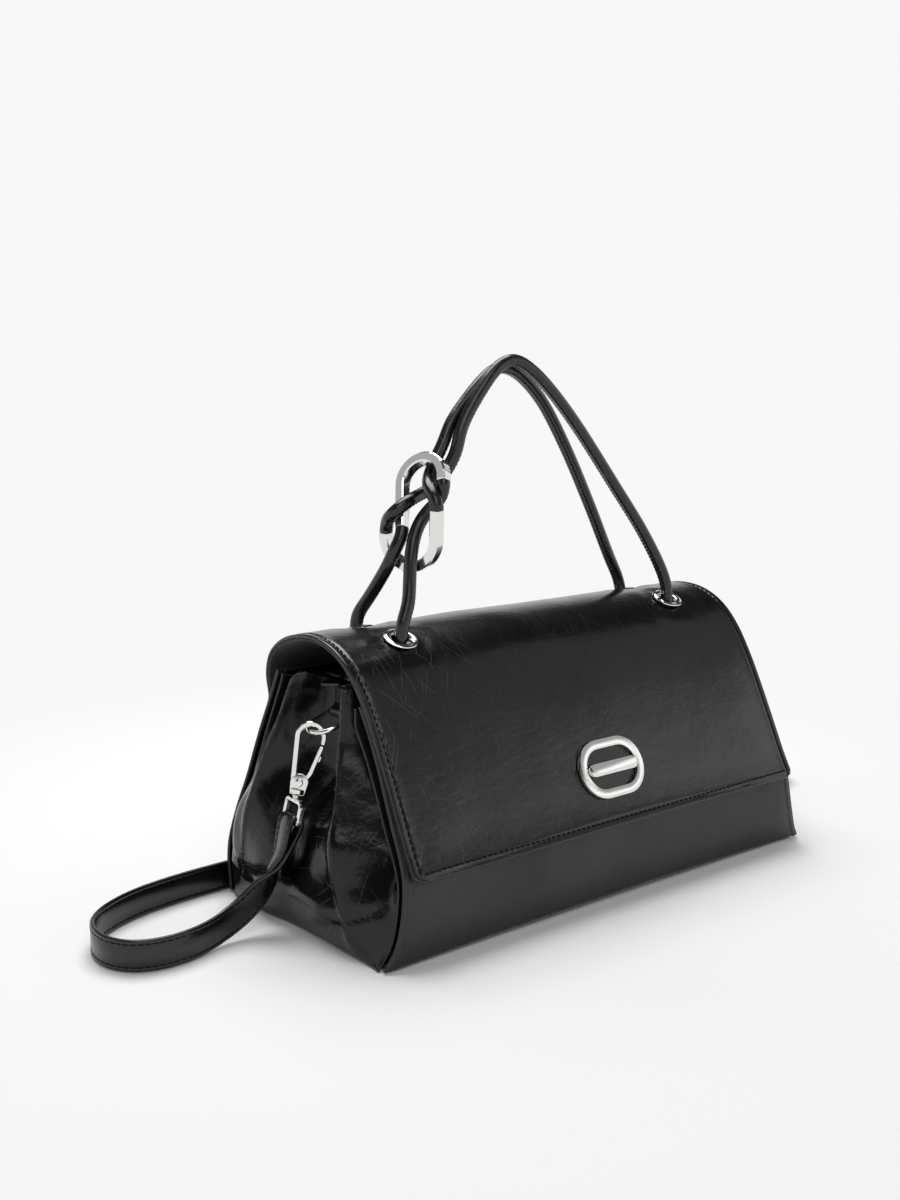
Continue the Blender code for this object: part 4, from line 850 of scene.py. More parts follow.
@dataclass(frozen=True)
class Thread:
    """Waxed sewing thread."""

    name: str
    tone: Tone = (0.0022, 0.0022, 0.0024)
    contrast: float = 1.8
    ply_scale: float = 500.0
    gloss_scale: float = 400.0
    smooth: float = 0.5
    dull: float = 0.65
    specular: float = 0.12
    relief: Relief = Relief(0.5, 0.0002)

    def make(self) -> Material:
        """Build the material."""
        s = Shader(self.name)
        ply = s.texture("Wave", scale=self.ply_scale, bands_direction="DIAGONAL").outputs[1]
        s.colour(ply, self.tone, times(self.tone, self.contrast))
        s.feed(s.between(s.noise(self.gloss_scale), self.smooth, self.dull), "Roughness")
        s.feed(s.bump(ply, self.relief), "Normal")
        return s.settle(specular_ior_level=self.specular)


class Finishes:
    """Every material of the bag."""

    def __init__(self) -> None:
        """Make the materials."""
        self.leather = Leather("glazed_leather").make()
        self.gusset = Leather("gusset_leather", smooth=0.16, dull=0.23, wrinkle=1.2, scuff_share=0.30,
                              coat=0.0, ior=1.42).make()
        self.strap = Leather("strap_leather", wrinkle=0.5, smooth=0.22, dull=0.30).make()
        self.cord = Leather("cord_leather", grain=1300.0, smooth=0.20, dull=0.30, wrinkle=0.6).make()
        self.backing = Leather("leather_back", dark=(0.008, 0.008, 0.008), smooth=0.45, dull=0.6).make()
        self.edge = Speckled("edge_paint", (0.010, 0.010, 0.011), contrast=2.2, tone_scale=160.0,
                             gloss_scale=220.0, relief_scale=520.0, smooth=0.34, dull=0.5, ior=1.48).make()
        self.chrome = Metal("polished_plating").make()
        self.dark_metal = Metal("magnet_plating", (0.42, 0.42, 0.43), smooth=0.2, dull=0.3).make()
        self.lining = Woven("lining_cloth").make()
        self.tape = Woven("zip_tape", light=(0.028, 0.028, 0.03), pitch=2200.0).make()
        self.thread = Thread("waxed_thread").make()
        self.board = Speckled("fibre_board", (0.09, 0.09, 0.09), contrast=1.6, tone_scale=700.0,
                              gloss_scale=90.0, relief_scale=500.0, smooth=0.7, dull=0.9).make()

    @property
    def sheet(self) -> tuple[Material, ...]:
        """Finishes of a leather sheet's face, back and edge."""
        return self.leather, self.backing, self.edge

    @property
    def lined(self) -> tuple[Material, ...]:
        """Finishes of a cloth lining's two faces and its edge."""
        return self.lining, self.lining, self.edge

    def plated(self, name: str, mesh: Mesh, body: str, *nodes: str) -> None:
        """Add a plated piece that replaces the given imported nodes."""
        add(name, mesh, (self.chrome,), body, nodes)


def add(name: str, mesh: Mesh, finishes: Sequence[Material], body: str | None,
        stands_for: Sequence[str] = ()) -> bpy.types.Object:
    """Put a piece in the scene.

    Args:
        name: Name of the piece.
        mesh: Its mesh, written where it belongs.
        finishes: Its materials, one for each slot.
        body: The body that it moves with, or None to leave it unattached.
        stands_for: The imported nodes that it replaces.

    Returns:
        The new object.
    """
    piece = bpy.data.objects.new(name, mesh)
    for finish in finishes:
        piece.data.materials.append(finish)
    bpy.context.collection.objects.link(piece)
    if body is not None:
        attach(piece, body)
    if stands_for:
        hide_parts(*stands_for)
    log.info("%s: %d faces", name, len(mesh.polygons))
    return piece


def pierced(mesh: Mesh, cutters: Sequence[Mesh], materials: int) -> Mesh:
    """Cut holes through a mesh.

    Args:
        mesh: The mesh to cut.
        cutters: Closed meshes, taken away one after another.
        materials: Number of material slots to keep.

    Returns:
        The cut mesh.
    """
    work = bpy.data.objects.new("pierced", mesh)
    for _ in range(materials):
        mesh.materials.append(None)
    bpy.context.collection.objects.link(work)
    tools = []
    for cutter in cutters:
        tool = bpy.data.objects.new("punch", cutter)
        bpy.context.collection.objects.link(tool)
        tools.append(tool)
        step = work.modifiers.new("punch", "BOOLEAN")
        step.operation = "DIFFERENCE"
        step.solver = "EXACT"
        step.object = tool
    bpy.context.view_layer.update()
    result = bpy.data.meshes.new_from_object(work.evaluated_get(bpy.context.evaluated_depsgraph_get()))
    for tool in (*tools, work):
        bpy.data.objects.remove(tool, do_unlink=True)
    result.materials.clear()
    result.shade_smooth()
    result.set_sharp_from_angle(angle=math.radians(SHARP))
    return result


@dataclass(frozen=True)
class Stitching:
    """A row of lock stitches."""

    pitch: float = 0.0034
    length: float = 0.0025
    radius: float = 0.00040
    slant: float = 0.10
    sides: int = 6
    wide_share: float = 1.25
    lift_share: float = 0.55
    sunk_share: float = 1.6
    swell_shares: Shares = ((-0.5, 0.25), (-0.4, 0.8), (-0.15, 1.0), (0.15, 1.0), (0.4, 0.8), (0.5, 0.25))

    def rows(self, name: str, lines: Sequence[tuple[np.ndarray, np.ndarray]]) -> Mesh:
        """Lay stitches along lines on a surface.

        Args:
            name: Name of the mesh.
            lines: For each row its points and the surface's normals there.

        Returns:
            One mesh with every stitch.
        """
        places, faces = [], []
        stitch = tube_faces(self.sides, len(self.swell_shares))
        for points, normals in lines:
            runs = run_lengths(points)
            for middle in np.arange(self.pitch, runs[-1] - self.pitch / 2, self.pitch):
                centre, before, after = (at_lengths(points, np.array([middle + d]))[0]
                                         for d in (0, -self.pitch / 4, self.pitch / 4))
                normal = Vector([np.interp(middle, runs, normals[:, k]) for k in range(3)]).normalized()
                along = Vector(after - before).normalized()
                side = along.cross(normal).normalized()
                along = (along + side * self.slant).normalized()
                side = along.cross(normal).normalized()
                faces += [tuple(len(places) + v for v in face) for face in stitch]
                for share, swell in self.swell_shares:
                    lift = self.radius * (self.lift_share - self.sunk_share * abs(share) ** 3)
                    base = Vector(centre) + along * (share * self.length) + normal * lift
                    for x, y in circle(1.0, self.sides):
                        places.append(base + (side * x * self.wide_share + normal * y) * self.radius * swell)
        return mesh_of(name, np.array(places), faces)

    def sew(self, name: str, lines: Sequence[tuple[np.ndarray, np.ndarray]], thread: Material,
            body: str = Body.BAG.value) -> None:
        """Add the stitches along lines as one piece."""
        add(name + "_stitches", self.rows(name, lines), (thread,), body)


def ripple(points: np.ndarray, scale: float, height: float, seed: float = 0.0) -> np.ndarray:
    """Gentle unevenness of leather over a surface.

    Args:
        points: Points of the surface.
        scale: Waves in a metre.
        height: Largest height.
        seed: Shift of the pattern.

    Returns:
        A height for each point.
    """
    flat = points.reshape(-1, 3)
    values = [noise.noise(Vector(p) * scale + Vector((seed, 0, seed))) for p in flat]
    return np.array(values).reshape(points.shape[:2]) * height


def near(distance: np.ndarray, line: float | np.ndarray, width: float) -> np.ndarray:
    """Share that is one at a distance and fades beside it."""
    return np.exp(-(((distance - line) / width) ** 2))


@dataclass(frozen=True)
class Seam:
    """Row of stitches pressed in beside an edge, with the ridge of leather on its inner side."""

    inset: float
    press: float
    ridge: float
    half: float
    rim: float
    width: float = 0.0006
    first: float = 0.0012
    last: float = 0.0010

    @property
    def crown(self) -> float:
        """Distance of the ridge from the edge."""
        return self.inset + self.ridge

    @property
    def margins(self) -> tuple[float, ...]:
        """Distances from the edge at which a sheet needs lines of points."""
        return (0, self.first, self.rim, self.inset - self.half, self.inset, self.inset + self.half,
                self.crown, self.crown + self.last)

    def pressed(self, edge: np.ndarray) -> np.ndarray:
        """Groove of the stitches and the shallow one beyond the ridge."""
        return self.press * (near(edge, self.crown, self.width) / 3 - near(edge, self.inset, self.width))


# The bag's own shape


@dataclass
class BagShape:
    """Sizes and profiles that every sub-assembly shares."""

    length: float = 0.300
    depth: float = 0.130
    height: float = 0.120
    panel: float = 0.0020
    gusset: float = 0.0011
    ridge_half: float = 0.0023
    ridge_round: float = 0.0042
    crest: float = 0.140
    flap_half: float = 0.1346
    front_profile_shares: Shares = (
        (0.0, 0.995), (0.10, 1.020), (0.22, 1.018), (0.333, 0.995), (0.417, 0.940), (0.50, 0.868),
        (0.683, 0.713), (0.817, 0.583), (0.933, 0.445))
    back_profile_shares: Shares = (
        (0.0, 0.985), (0.167, 1.015), (0.333, 1.0), (0.567, 0.885), (0.708, 0.785), (0.85, 0.66),
        (0.99, 0.545))
    front_edge_shares: Shares = (
        (0.0, 0.997), (0.067, 0.960), (0.167, 0.934), (0.333, 0.915), (0.583, 0.907), (0.933, 0.893))
    back_edge_shares: Shares = (
        (0.0, 0.985), (0.2, 0.98), (0.34, 0.955), (0.5, 0.926), (0.65, 0.913), (0.99, 0.9))
    fold_shares: tuple[tuple[float, float, Shares], ...] = (
        (0.0, 0.0, ((-0.900, 0.990), (-0.646, 0.981), (-0.246, 0.976), (0.123, 0.979), (0.431, 0.993),
                    (0.708, 0.995), (0.846, 0.990))),
        (0.07, 0.0, ((-0.892, 0.978), (-0.631, 1.007), (-0.231, 1.004), (0.123, 1.001), (0.415, 1.012),
                     (0.692, 1.015), (0.846, 1.007))),
        (0.20, 0.0, ((-0.877, 0.950), (-0.554, 1.017), (-0.215, 1.023), (0.123, 1.017), (0.415, 1.030),
                     (0.662, 1.027), (0.831, 1.013))),
        (0.42, 0.2, ((-0.831, 0.858), (-0.431, 1.000), (-0.185, 0.980), (0.123, 0.940), (0.415, 0.993),
                     (0.631, 1.013), (0.800, 0.993))),
        (0.60, 0.7, ((-0.677, 0.830), (-0.369, 0.960), (-0.185, 0.873), (0.123, 0.813), (0.415, 0.887),
                     (0.600, 0.967), (0.715, 0.925))),
        (0.80, 1.0, ((-0.485, 0.808), (-0.262, 0.910), (-0.154, 0.800), (0.092, 0.760), (0.346, 0.800),
                     (0.500, 0.920), (0.590, 0.850))),
        (1.0, 1.0, ((-0.338, 0.795), (-0.246, 0.893), (-0.138, 0.780), (0.062, 0.747), (0.262, 0.780),
                    (0.369, 0.893), (0.440, 0.815))))
    fold_top_shares: tuple[float, ...] = (0.925, 0.915, 0.995, 0.955, 0.955, 0.960, 1.0, 0.945, 0.985)
    flap_profile_shares: Shares = (
        (0.705, 0.745), (0.738, 0.829), (0.685, 0.902), (0.530, 0.960), (0.308, 0.993), (0.092, 1.0),
        (-0.123, 0.980), (-0.308, 0.933), (-0.462, 0.860), (-0.615, 0.749), (-0.769, 0.611),
        (-0.923, 0.461), (-1.028, 0.359), (-1.117, 0.284))
    front_ridge: int = 1
    rear_ridge: int = 5
    slope_step: float = 0.003
    frame_steps: int = 3
    hinge_spans: int = 2
    table_steps: int = 12
    _tables: dict[Shares, np.ndarray] = field(default_factory=dict)

    def _read(self, shares: Shares, place: float) -> float:
        """Read a smooth table of shares."""
        if shares not in self._tables:
            self._tables[shares] = smooth_line([(a, b, 0) for a, b in shares], self.table_steps)
        line = self._tables[shares]
        return float(np.interp(place, line[:, 0], line[:, 1]))

    def front_y(self, z: float) -> float:
        """Outer face of the front panel at a height."""
        return -self._read(self.front_profile_shares, z / self.height) * self.depth / 2

    def back_y(self, z: float) -> float:
        """Outer face of the back panel at a height."""
        return self._read(self.back_profile_shares, z / self.height) * self.depth / 2

    def front_half(self, z: float) -> float:
        """Half width of the front panel at a height."""
        return self._read(self.front_edge_shares, z / self.height) * self.length / 2

    def back_half(self, z: float) -> float:
        """Half width of the back panel at a height."""
        return self._read(self.back_edge_shares, z / self.height) * self.length / 2

    def slant(self, profile: Callable[[float], float], z: float) -> float:
        """How much longer a thickness is along Y than square to a profile."""
        step = self.slope_step
        rise = (profile(z + step) - profile(max(z - step, 0))) / (2 * step)
        return math.sqrt(1 + rise * rise)

    def fold_stations(self, share: float) -> tuple[Outline, float]:
        """Stations of a gusset's folds, as (y, x), and how far its ridges are pinched."""
        levels = [level[0] for level in self.fold_shares]
        places = []
        for k in range(len(self.fold_shares[0][2])):
            depth = tuple((a, level[2][k][0]) for a, level in zip(levels, self.fold_shares))
            reach = tuple((a, level[2][k][1]) for a, level in zip(levels, self.fold_shares))
            y, x = self._read(depth, share) * self.depth / 2, self._read(reach, share) * self.length / 2
            places.append((y, x))
        return places, float(np.interp(share, levels, [level[1] for level in self.fold_shares]))

    def fold_section(self, share: float, steps: int) -> np.ndarray:
        """Outer face of the right gusset at a height share, as (y, x) from front to back."""
        places, pinch = self.fold_stations(share)
        z = share * self.height
        front_z = min(z, self.fold_top_shares[0] * self.height)
        rear_z = min(z, self.fold_top_shares[-1] * self.height)
        inset = self.panel + GAP + self.gusset
        leaving = self.front_half(front_z) - places[0][1]
        turned_in = leaving / math.hypot(leaving, places[0][0] - self.front_y(front_z))
        lapped = self.panel + GAP + self.gusset * turned_in
        start = self.front_y(front_z) + lapped * self.slant(self.front_y, front_z)
        end = self.back_y(rear_z) - inset * self.slant(self.back_y, rear_z)
        outline = [(start, self.front_half(front_z))]
        for k, (y, x) in enumerate(places):
            if k in (self.front_ridge, self.rear_ridge):
                back = self.ridge_round * pinch
                outline += [(y - self.ridge_half, x - back), (y, x), (y + self.ridge_half, x - back)]
            else:
                outline.append((y, x))
        outline.append((end, self.back_half(rear_z)))
        return smooth_line([(y, x, 0) for y, x in outline], steps)[:, :2]

    def crown_columns(self, steps: int) -> list[int]:
        """Columns of a gusset's section that run along its two ridges."""
        ridges = (self.front_ridge, self.rear_ridge)
        return [(ridge + 2 + 2 * before) * steps for before, ridge in enumerate(ridges)]

    def fold_tops(self, count: int) -> np.ndarray:
        """Height shares of the gusset's top edge at each point of its section."""
        full = [self.fold_top_shares[0]]
        for k, share in enumerate(self.fold_top_shares[1:-1]):
            full += [share] * 3 if k in (self.front_ridge, self.rear_ridge) else [share]
        full.append(self.fold_top_shares[-1])
        return np.interp(np.linspace(0, len(full) - 1, count), range(len(full)), full)

    def flap_line(self, steps: int = 12) -> np.ndarray:
        """Outer face of the flap as (y, z), from its hinge to its front edge."""
        points = [(0, y * self.depth / 2, z * self.crest) for y, z in self.flap_profile_shares]
        return smooth_line(points, steps)[:, 1:]

    def flap_frame(self, x: float, y: float | None = None, z: float | None = None) -> Matrix:
        """Frame on the flap's outer face, Z outwards.

        Args:
            x: Place along the bag.
            y: Place across it, on the top.
            z: Height, on the front.

        Returns:
            The frame.
        """
        line = self.flap_line(self.frame_steps)[self.hinge_spans * self.frame_steps:]
        for a, b in zip(line, line[1:]):
            if y is not None and a[0] >= y > b[0]:
                share = (a[0] - y) / (a[0] - b[0])
                break
            if z is not None and a[0] < 0 and a[1] >= z > b[1]:
                share = (a[1] - z) / (a[1] - b[1])
                break
        here = a + (b - a) * share
        normal = Vector((0, b[1] - a[1], a[0] - b[0])).normalized()
        return frame_of((x, *here), (1, 0, 0), normal.cross(Vector((1, 0, 0))), normal)


@dataclass(frozen=True)
class Wear:
    """How worn leather is along a line, and how far the wear spreads from it."""

    amount: float
    width: float

    def at(self, distance: np.ndarray, line: float | np.ndarray = 0.0) -> np.ndarray:
        """Wear at distances from an edge, with the line at a distance of its own."""
        return self.amount * near(distance, line, self.width)


@dataclass
class Shell:
    """Panels, folded side gussets, dividers and base."""

    shape: BagShape
    finishes: Finishes
    seam: Seam = Seam(inset=0.0034, press=0.00042, ridge=0.0013, half=0.0006, rim=0.0022)
    foot_margins: tuple[float, ...] = (0, 0.0012, 0.0026)
    top_margins: tuple[float, ...] = (0, 0.0012, 0.0026, 0.0034, 0.0042)
    column_step: float = 0.0035
    row_step: float = 0.0025
    gauge_share: float = 0.4
    corner: float = 0.0015
    foot: float = 0.0006
    arch: float = 0.0022
    arch_top: float = 0.02
    arch_power: float = 0.7
    panel_calm: float = 0.012
    panel_waves: Waves = ((22, 0.0008, 3.0), (70, 0.00015, 0.0))
    panel_wear: float = 0.20
    edge_wear: Wear = Wear(0.25, 0.016)
    # Worn ridge inside the stitches, painted paler: partly worn leather, partly painted highlight
    ridge_wear: Wear = Wear(0.50, 0.0006)
    foot_wear: Wear = Wear(0.15, 0.004)
    gusset_steps: int = 9
    gusset_rows: int = 64
    gusset_calm: float = 0.014
    gusset_waves: Waves = ((34, 0.0022, 5.0), (85, 0.0005, 1.0))
    gusset_wear: float = 0.25
    slack_wear: float = 0.3
    # Crowns of the folds, painted paler: partly worn leather, partly painted highlight
    crown_wear: Wear = Wear(0.9, 0.0016)
    slack_top: float = 0.085
    slack_fade: float = 0.03
    ridge_top: float = 0.0060
    ridge_drop: float = 0.8
    ridge_spread: float = 0.0050
    crease_height: float = 0.0155
    crease_rise: float = 0.02
    crease_depth: float = 0.0013
    crease_width: float = 0.0018
    divider: float = 0.0012
    divider_rows: int = 40
    divider_columns: int = 60
    divider_foot: float = 0.0002
    divider_inset: float = 0.010
    divider_shift: float = 0.0006
    divider_wave: Place = (30, 0.0004, 9.0)
    base: float = 0.0025
    base_bevel: float = 0.0006
    base_length_share: float = 0.974
    base_depth_share: float = 0.94
    stitching: Stitching = Stitching()

    def build(self) -> None:
        """Build every piece of the shell."""
        s = self.shape
        self._panel("front_panel", s.front_y, s.front_half, s.front_profile_shares[-1][0], 1)
        self._panel("back_panel", s.back_y, s.back_half, s.back_profile_shares[-1][0], -1)
        self._gussets()
        self._dividers()
        self._base()

    def _panel(self, node: str, profile: Callable[[float], float], half: Callable[[float], float],
               top_share: float, side: int) -> None:
        """Build the front or back panel with its side seams."""
        s = self.shape
        tall = s.height * top_share - self.foot
        heights = graded(tall, self.foot_margins, self.top_margins, self.row_step) + self.foot
        widest = 2 * half(s.height * self.gauge_share)
        shares = graded(widest, self.seam.margins, self.seam.margins, self.column_step) / widest * 2 - 1
        bow = np.maximum(0, np.cos(shares * math.pi / 2)) ** self.arch_power
        rows = []
        for z in heights:
            lifts = self.arch * max(0.0, 1 - z / self.arch_top) * bow
            short = max(0.0, self.corner - z + self.foot)
            width = half(z) - self.corner + math.sqrt(max(self.corner ** 2 - short ** 2, 0.0))
            rows.append([(x * width, profile(z), z + lift) for x, lift in zip(shares, lifts)])
        grid = Grid(np.array(rows), side)
        bottom, _, left, right = grid.edge_distances()
        edge = np.minimum(left, right)
        uneven = sum(ripple(grid.points, *wave) for wave in self.panel_waves)
        grid = grid.moved(uneven * grid.calm(self.panel_calm) + self.seam.pressed(edge))
        # How worn each point is; on the ridge inside the stitches it reaches the paler tone, partly a painted
        # highlight
        wear = self.panel_wear + self.edge_wear.at(edge) + self.ridge_wear.at(edge, self.seam.crown)
        wear += self.foot_wear.at(bottom)
        f = self.finishes
        panel = grid.solid(node, s.panel, wear=wear)
        add(node + "_leather", panel, f.sheet, Body.BAG.value, (node,))
        normal = grid.normals()
        column = int(np.argmin(abs(left[len(heights) // 2] - self.seam.inset)))
        lines = [(grid.points[:, c], normal[:, c]) for c in (column, len(shares) - 1 - column)]
        self.stitching.sew(node, lines, f.thread)

    def _gussets(self) -> None:
        """Build the folded gussets and their creases, with their ridges painted paler: partly worn, partly a
        painted highlight.
        """
        s = self.shape
        low = self.foot / s.height
        steps, count = self.gusset_steps, self.gusset_rows
        sections = [s.fold_section(share, steps) for share in np.linspace(low, 1.0, count)]
        tops = s.fold_tops(len(sections[0]))
        rows = [[(x, y, (low + (top - low) * share) * s.height) for top, (y, x) in zip(tops, section)]
                for share, section in zip(np.linspace(0, 1, count), sections)]
        grid = Grid.facing(np.array(rows), 0)
        _, top, front, _ = grid.edge_distances()
        calm = grid.calm(self.gusset_calm)
        rise = np.clip(self.ridge_top - top, 0, self.ridge_top)
        rounded = self.ridge_top - np.sqrt(self.ridge_top ** 2 - rise ** 2)
        crowns = [front[:, column:column + 1] for column in s.crown_columns(steps)]
        for crown in crowns:
            grid.points[..., 0] -= self.ridge_drop * rounded * near(front, crown, self.ridge_spread)
        height = grid.points[..., 2]
        slack = np.clip((self.slack_top - height) / self.slack_fade, 0, 1)
        level = self.crease_height + self.crease_rise * np.abs(grid.points[..., 1] * 2 / s.depth) ** 4
        crease = -self.crease_depth * near(height, level, self.crease_width)
        broad, fine = (ripple(grid.points, *wave) for wave in self.gusset_waves)
        grid = grid.moved((broad * slack + fine + crease) * calm)
        wear = self.gusset_wear + self.slack_wear * slack
        # Crowns of the folds painted paler: partly worn leather, partly painted highlight
        for crown in crowns:
            wear = np.maximum(wear, self.crown_wear.at(front, crown))
        f = self.finishes
        for side in Side:
            placed = grid if side is Side.RIGHT else grid.mirrored()
            node = "side_gusset_" + side.word
            add(node + "_leather", placed.solid(node, s.gusset, wear=wear), (f.gusset, f.backing, f.edge),
                Body.BAG.value, (node,))

    def _dividers(self) -> None:
        """Build the lined dividers between the folds."""
        s, f = self.shape, self.finishes
        for node, ridge, side in (("front_divider", s.front_ridge, 1), ("rear_divider", s.rear_ridge, -1)):
            low, high = (corner[2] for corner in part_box(node))
            rows = []
            for z in np.linspace(low + self.divider_foot, high, self.divider_rows):
                y, x = s.fold_stations(z / s.height)[0][ridge]
                reach = x - self.divider_inset
                places = np.linspace(-reach, reach, self.divider_columns)
                rows.append([(u, y - side * self.divider_shift, z) for u in places])
            grid = Grid(np.array(rows), side)
            grid = grid.moved(ripple(grid.points, *self.divider_wave))
            add(node + "_lining", grid.solid(node, self.divider), f.lined, Body.BAG.value, (node,))

    def _base(self) -> None:
        """Build the base, drawn in behind the panels' lower edges."""
        s = self.shape
        folds = [(x, y) for y, x in s.fold_stations(0)[0][1:]]
        outline = [(-s.front_half(0), s.front_y(0)), (s.front_half(0), s.front_y(0)), *folds,
                   (s.back_half(0), s.back_y(0)), (-s.back_half(0), s.back_y(0))]
        outline += [(-x, y) for x, y in reversed(folds)]
        points = [(x * self.base_length_share, y * self.base_depth_share) for x, y in outline]
        base = plate("base", Matrix.Identity(4), points, 0.0, self.base, self.base_bevel)
        add("base_leather", base, (self.finishes.leather,), Body.BAG.value, ("base_panel",))


@dataclass
class Flap:
    """Flap with its lining, hinge seam, border stitches and eyelets."""

    shape: BagShape
    finishes: Finishes
    outer: float = 0.0019
    lining: float = 0.0011
    lining_inset: float = 0.0004
    seam: Seam = Seam(inset=0.0039, press=0.00048, ridge=0.0014, half=0.0007, rim=0.0024)
    corner: float = 0.0050
    corner_share: float = 0.999
    hinge_strip: float = 0.0120
    hinge_overlap: float = 0.002
    hinge_rows: int = 8
    hinge_margins: tuple[float, ...] = (0, 0.0014, 0.003)
    hinge_seam: float = 0.003
    border_start: float = 0.016
    row_step: float = 0.0022
    column_step: float = 0.0032
    slope_reach: float = 0.001
    calm_reach: float = 0.02
    waves: Waves = ((13, 0.0012, 2.0), (55, 0.00015, 7.0))
    eyelet_half_spacing: float = 0.0950
    eyelet_front: float = -0.0107
    eyelet_rear: float = 0.0254
    rear_sink: float = 0.0019
    sink_reach: float = 0.0180
    hole: float = 0.0050
    barrel: float = 0.0005
    barrel_drop: float = 0.0045
    punch_reach: float = 0.008
    punch_sides: int = 40
    flange: float = 0.0086
    flange_height: float = 0.0015
    flange_soft: float = 0.0003
    flange_roll: float = 0.0010
    rim_roll_shares: Pair = (0.2, 0.7)
    crown_shares: tuple[float, ...] = (0.82, 1.0, 0.95, 0.72, 0.35)
    dimple: float = 0.0115
    dimple_depth: float = 0.00035
    dimple_width: float = 0.0022
    dimple_rise: Triple = (0.00030, 0.018, 0.004)
    pull_least: float = 0.6
    pull_folds: float = 5
    pull_shift: float = 90
    base_wear: float = 0.16
    most_wear: float = 0.64
    left_wear: Wear = Wear(0.30, 0.035)
    crest_wear: Wear = Wear(0.15, 0.020)
    eyelet_wear: Wear = Wear(0.35, 0.022)
    eyelet_wear_reach: float = 0.012
    edge_wear: Wear = Wear(0.15, 0.016)
    # Border ridge and stitch groove, painted paler and less so away from the left end: partly worn leather,
    # partly painted highlight
    ridge_wear: Wear = Wear(1.0, 0.0007)
    groove_wear: Wear = Wear(0.75, 0.0006)
    left_fade: Wear = Wear(0.45, 0.06)
    bend_start: Place = (0.0, 0.0505, 0.0980)
    bend_end: Place = (0.0, 0.0445, 0.1040)
    stitching: Stitching = Stitching()

    def eyelet_places(self) -> list[tuple[str, float, float]]:
        """Name and plan place of each eyelet."""
        return [(f"{word}_{side.word}", side.value * self.eyelet_half_spacing, y)
                for side in Side for word, y in (("front", self.eyelet_front), ("rear", self.eyelet_rear))]

    def eyelet_frame(self, x: float, y: float) -> Matrix:
        """Frame of an eyelet, sunk a little into the leather behind the crest."""
        sink = self.rear_sink if y > 0 else 0.0
        return self.shape.flap_frame(x, y=y) @ Matrix.Translation((0, 0, -sink))

    def build(self) -> None:
        """Build every piece of the flap."""
        self._sheets()
        for name, x, y in self.eyelet_places():
            self._eyelet(name, self.eyelet_frame(x, y))

    def _line(self) -> np.ndarray:
        """Outer face from the foot of the hinge strip to the front edge, as (y, z)."""
        s = self.shape
        line = s.flap_line()
        foot = line[0][1] - self.hinge_strip
        thick = self.outer + self.lining + GAP
        heights = np.linspace(foot, line[0][1] - self.hinge_overlap, self.hinge_rows)
        return np.vstack([[(s.back_y(z) + thick * s.slant(s.back_y, z), z) for z in heights], line])

    def _grid(self, depth: float, inset: float) -> Grid:
        """Face of one layer.

        Args:
            depth: How far it lies under the outer face.
            inset: How far its edges are drawn in.

        Returns:
            The face as a grid.
        """
        line = self._line()
        runs = run_lengths(line)
        border = self.seam.margins
        places = graded(runs[-1] - inset, self.hinge_margins, border, self.row_step)
        rows = at_lengths(line, places)
        ahead = at_lengths(line, np.minimum(places + self.slope_reach, runs[-1]))
        tangent = unit(ahead - at_lengths(line, places - self.slope_reach))
        rows = rows - np.stack([tangent[:, 1], -tangent[:, 0]], axis=1) * depth
        width = 2 * (self.shape.flap_half - inset)
        across = graded(width, border, border, self.column_step) / width * 2 - 1
        points = []
        for place, (y, z) in zip(places, rows):
            short = max(0.0, self.corner - (runs[-1] - inset - place))
            cut = self.corner - math.sqrt(max(self.corner ** 2 - short ** 2, 0.0))
            half = width / 2 - cut * self.corner_share
            points.append([(u * half, y, z) for u in across])
        return Grid.facing(np.array(points), 2)

    def _relief(self, grid: Grid) -> np.ndarray:
        """Unevenness, pressed seams and the dimples round the eyelets."""
        hinge, front, left, right = grid.edge_distances()
        edge = np.minimum(np.minimum(left, right), front)
        calm = np.clip(edge / self.calm_reach, 0, 1) * np.clip(hinge / self.calm_reach, 0, 1)
        lift = sum(ripple(grid.points, *wave) for wave in self.waves) * calm + self.seam.pressed(edge)
        rise, rise_reach, rise_width = self.dimple_rise
        for _, x, y in self.eyelet_places():
            away = self._away(grid, x, y)
            angle = np.arctan2(grid.points[..., 1] - y, grid.points[..., 0] - x)
            folds = np.sin(self.pull_folds * angle + x * self.pull_shift)
            pull = self.pull_least + (1 - self.pull_least) * folds
            lift = np.where(away < self.dimple, lift * away / self.dimple, lift)
            ring = rise * near(away, rise_reach, rise_width)
            lift += (ring - self.dimple_depth * near(away, self.dimple, self.dimple_width)) * pull
        return lift + self._sunk(grid)

    def _sunk(self, grid: Grid) -> np.ndarray:
        """Hollows in which the rear eyelets lie."""
        lift = np.zeros(grid.points.shape[:2])
        for _, x, y in self.eyelet_places():
            if y > 0:
                share = (self.sink_reach - self._away(grid, x, y)) / (self.sink_reach - self.flange)
                lift -= self.rear_sink * eased_step(np.clip(share, 0, 1))
        return lift

    def _away(self, grid: Grid, x: float, y: float) -> np.ndarray:
        """Distance of each point from an eyelet."""
        return np.linalg.norm(grid.points - np.array(self.shape.flap_frame(x, y=y).translation), axis=2)

    def _wear(self, grid: Grid) -> np.ndarray:
        """How worn each point is: most along the border's ridge, the crest and the left front eyelet; the
        ridge and stitch groove are painted paler, partly as a painted highlight.
        """
        _, front, left, right = grid.edge_distances()
        edge = np.minimum(np.minimum(left, right), front)
        eyelet = self._away(grid, -self.eyelet_half_spacing, self.eyelet_front)
        general = self.base_wear + self.left_wear.at(left) + self.crest_wear.at(grid.points[..., 1])
        general += self.eyelet_wear.at(eyelet, self.eyelet_wear_reach)
        general += self.edge_wear.at(left) + self.edge_wear.at(front)
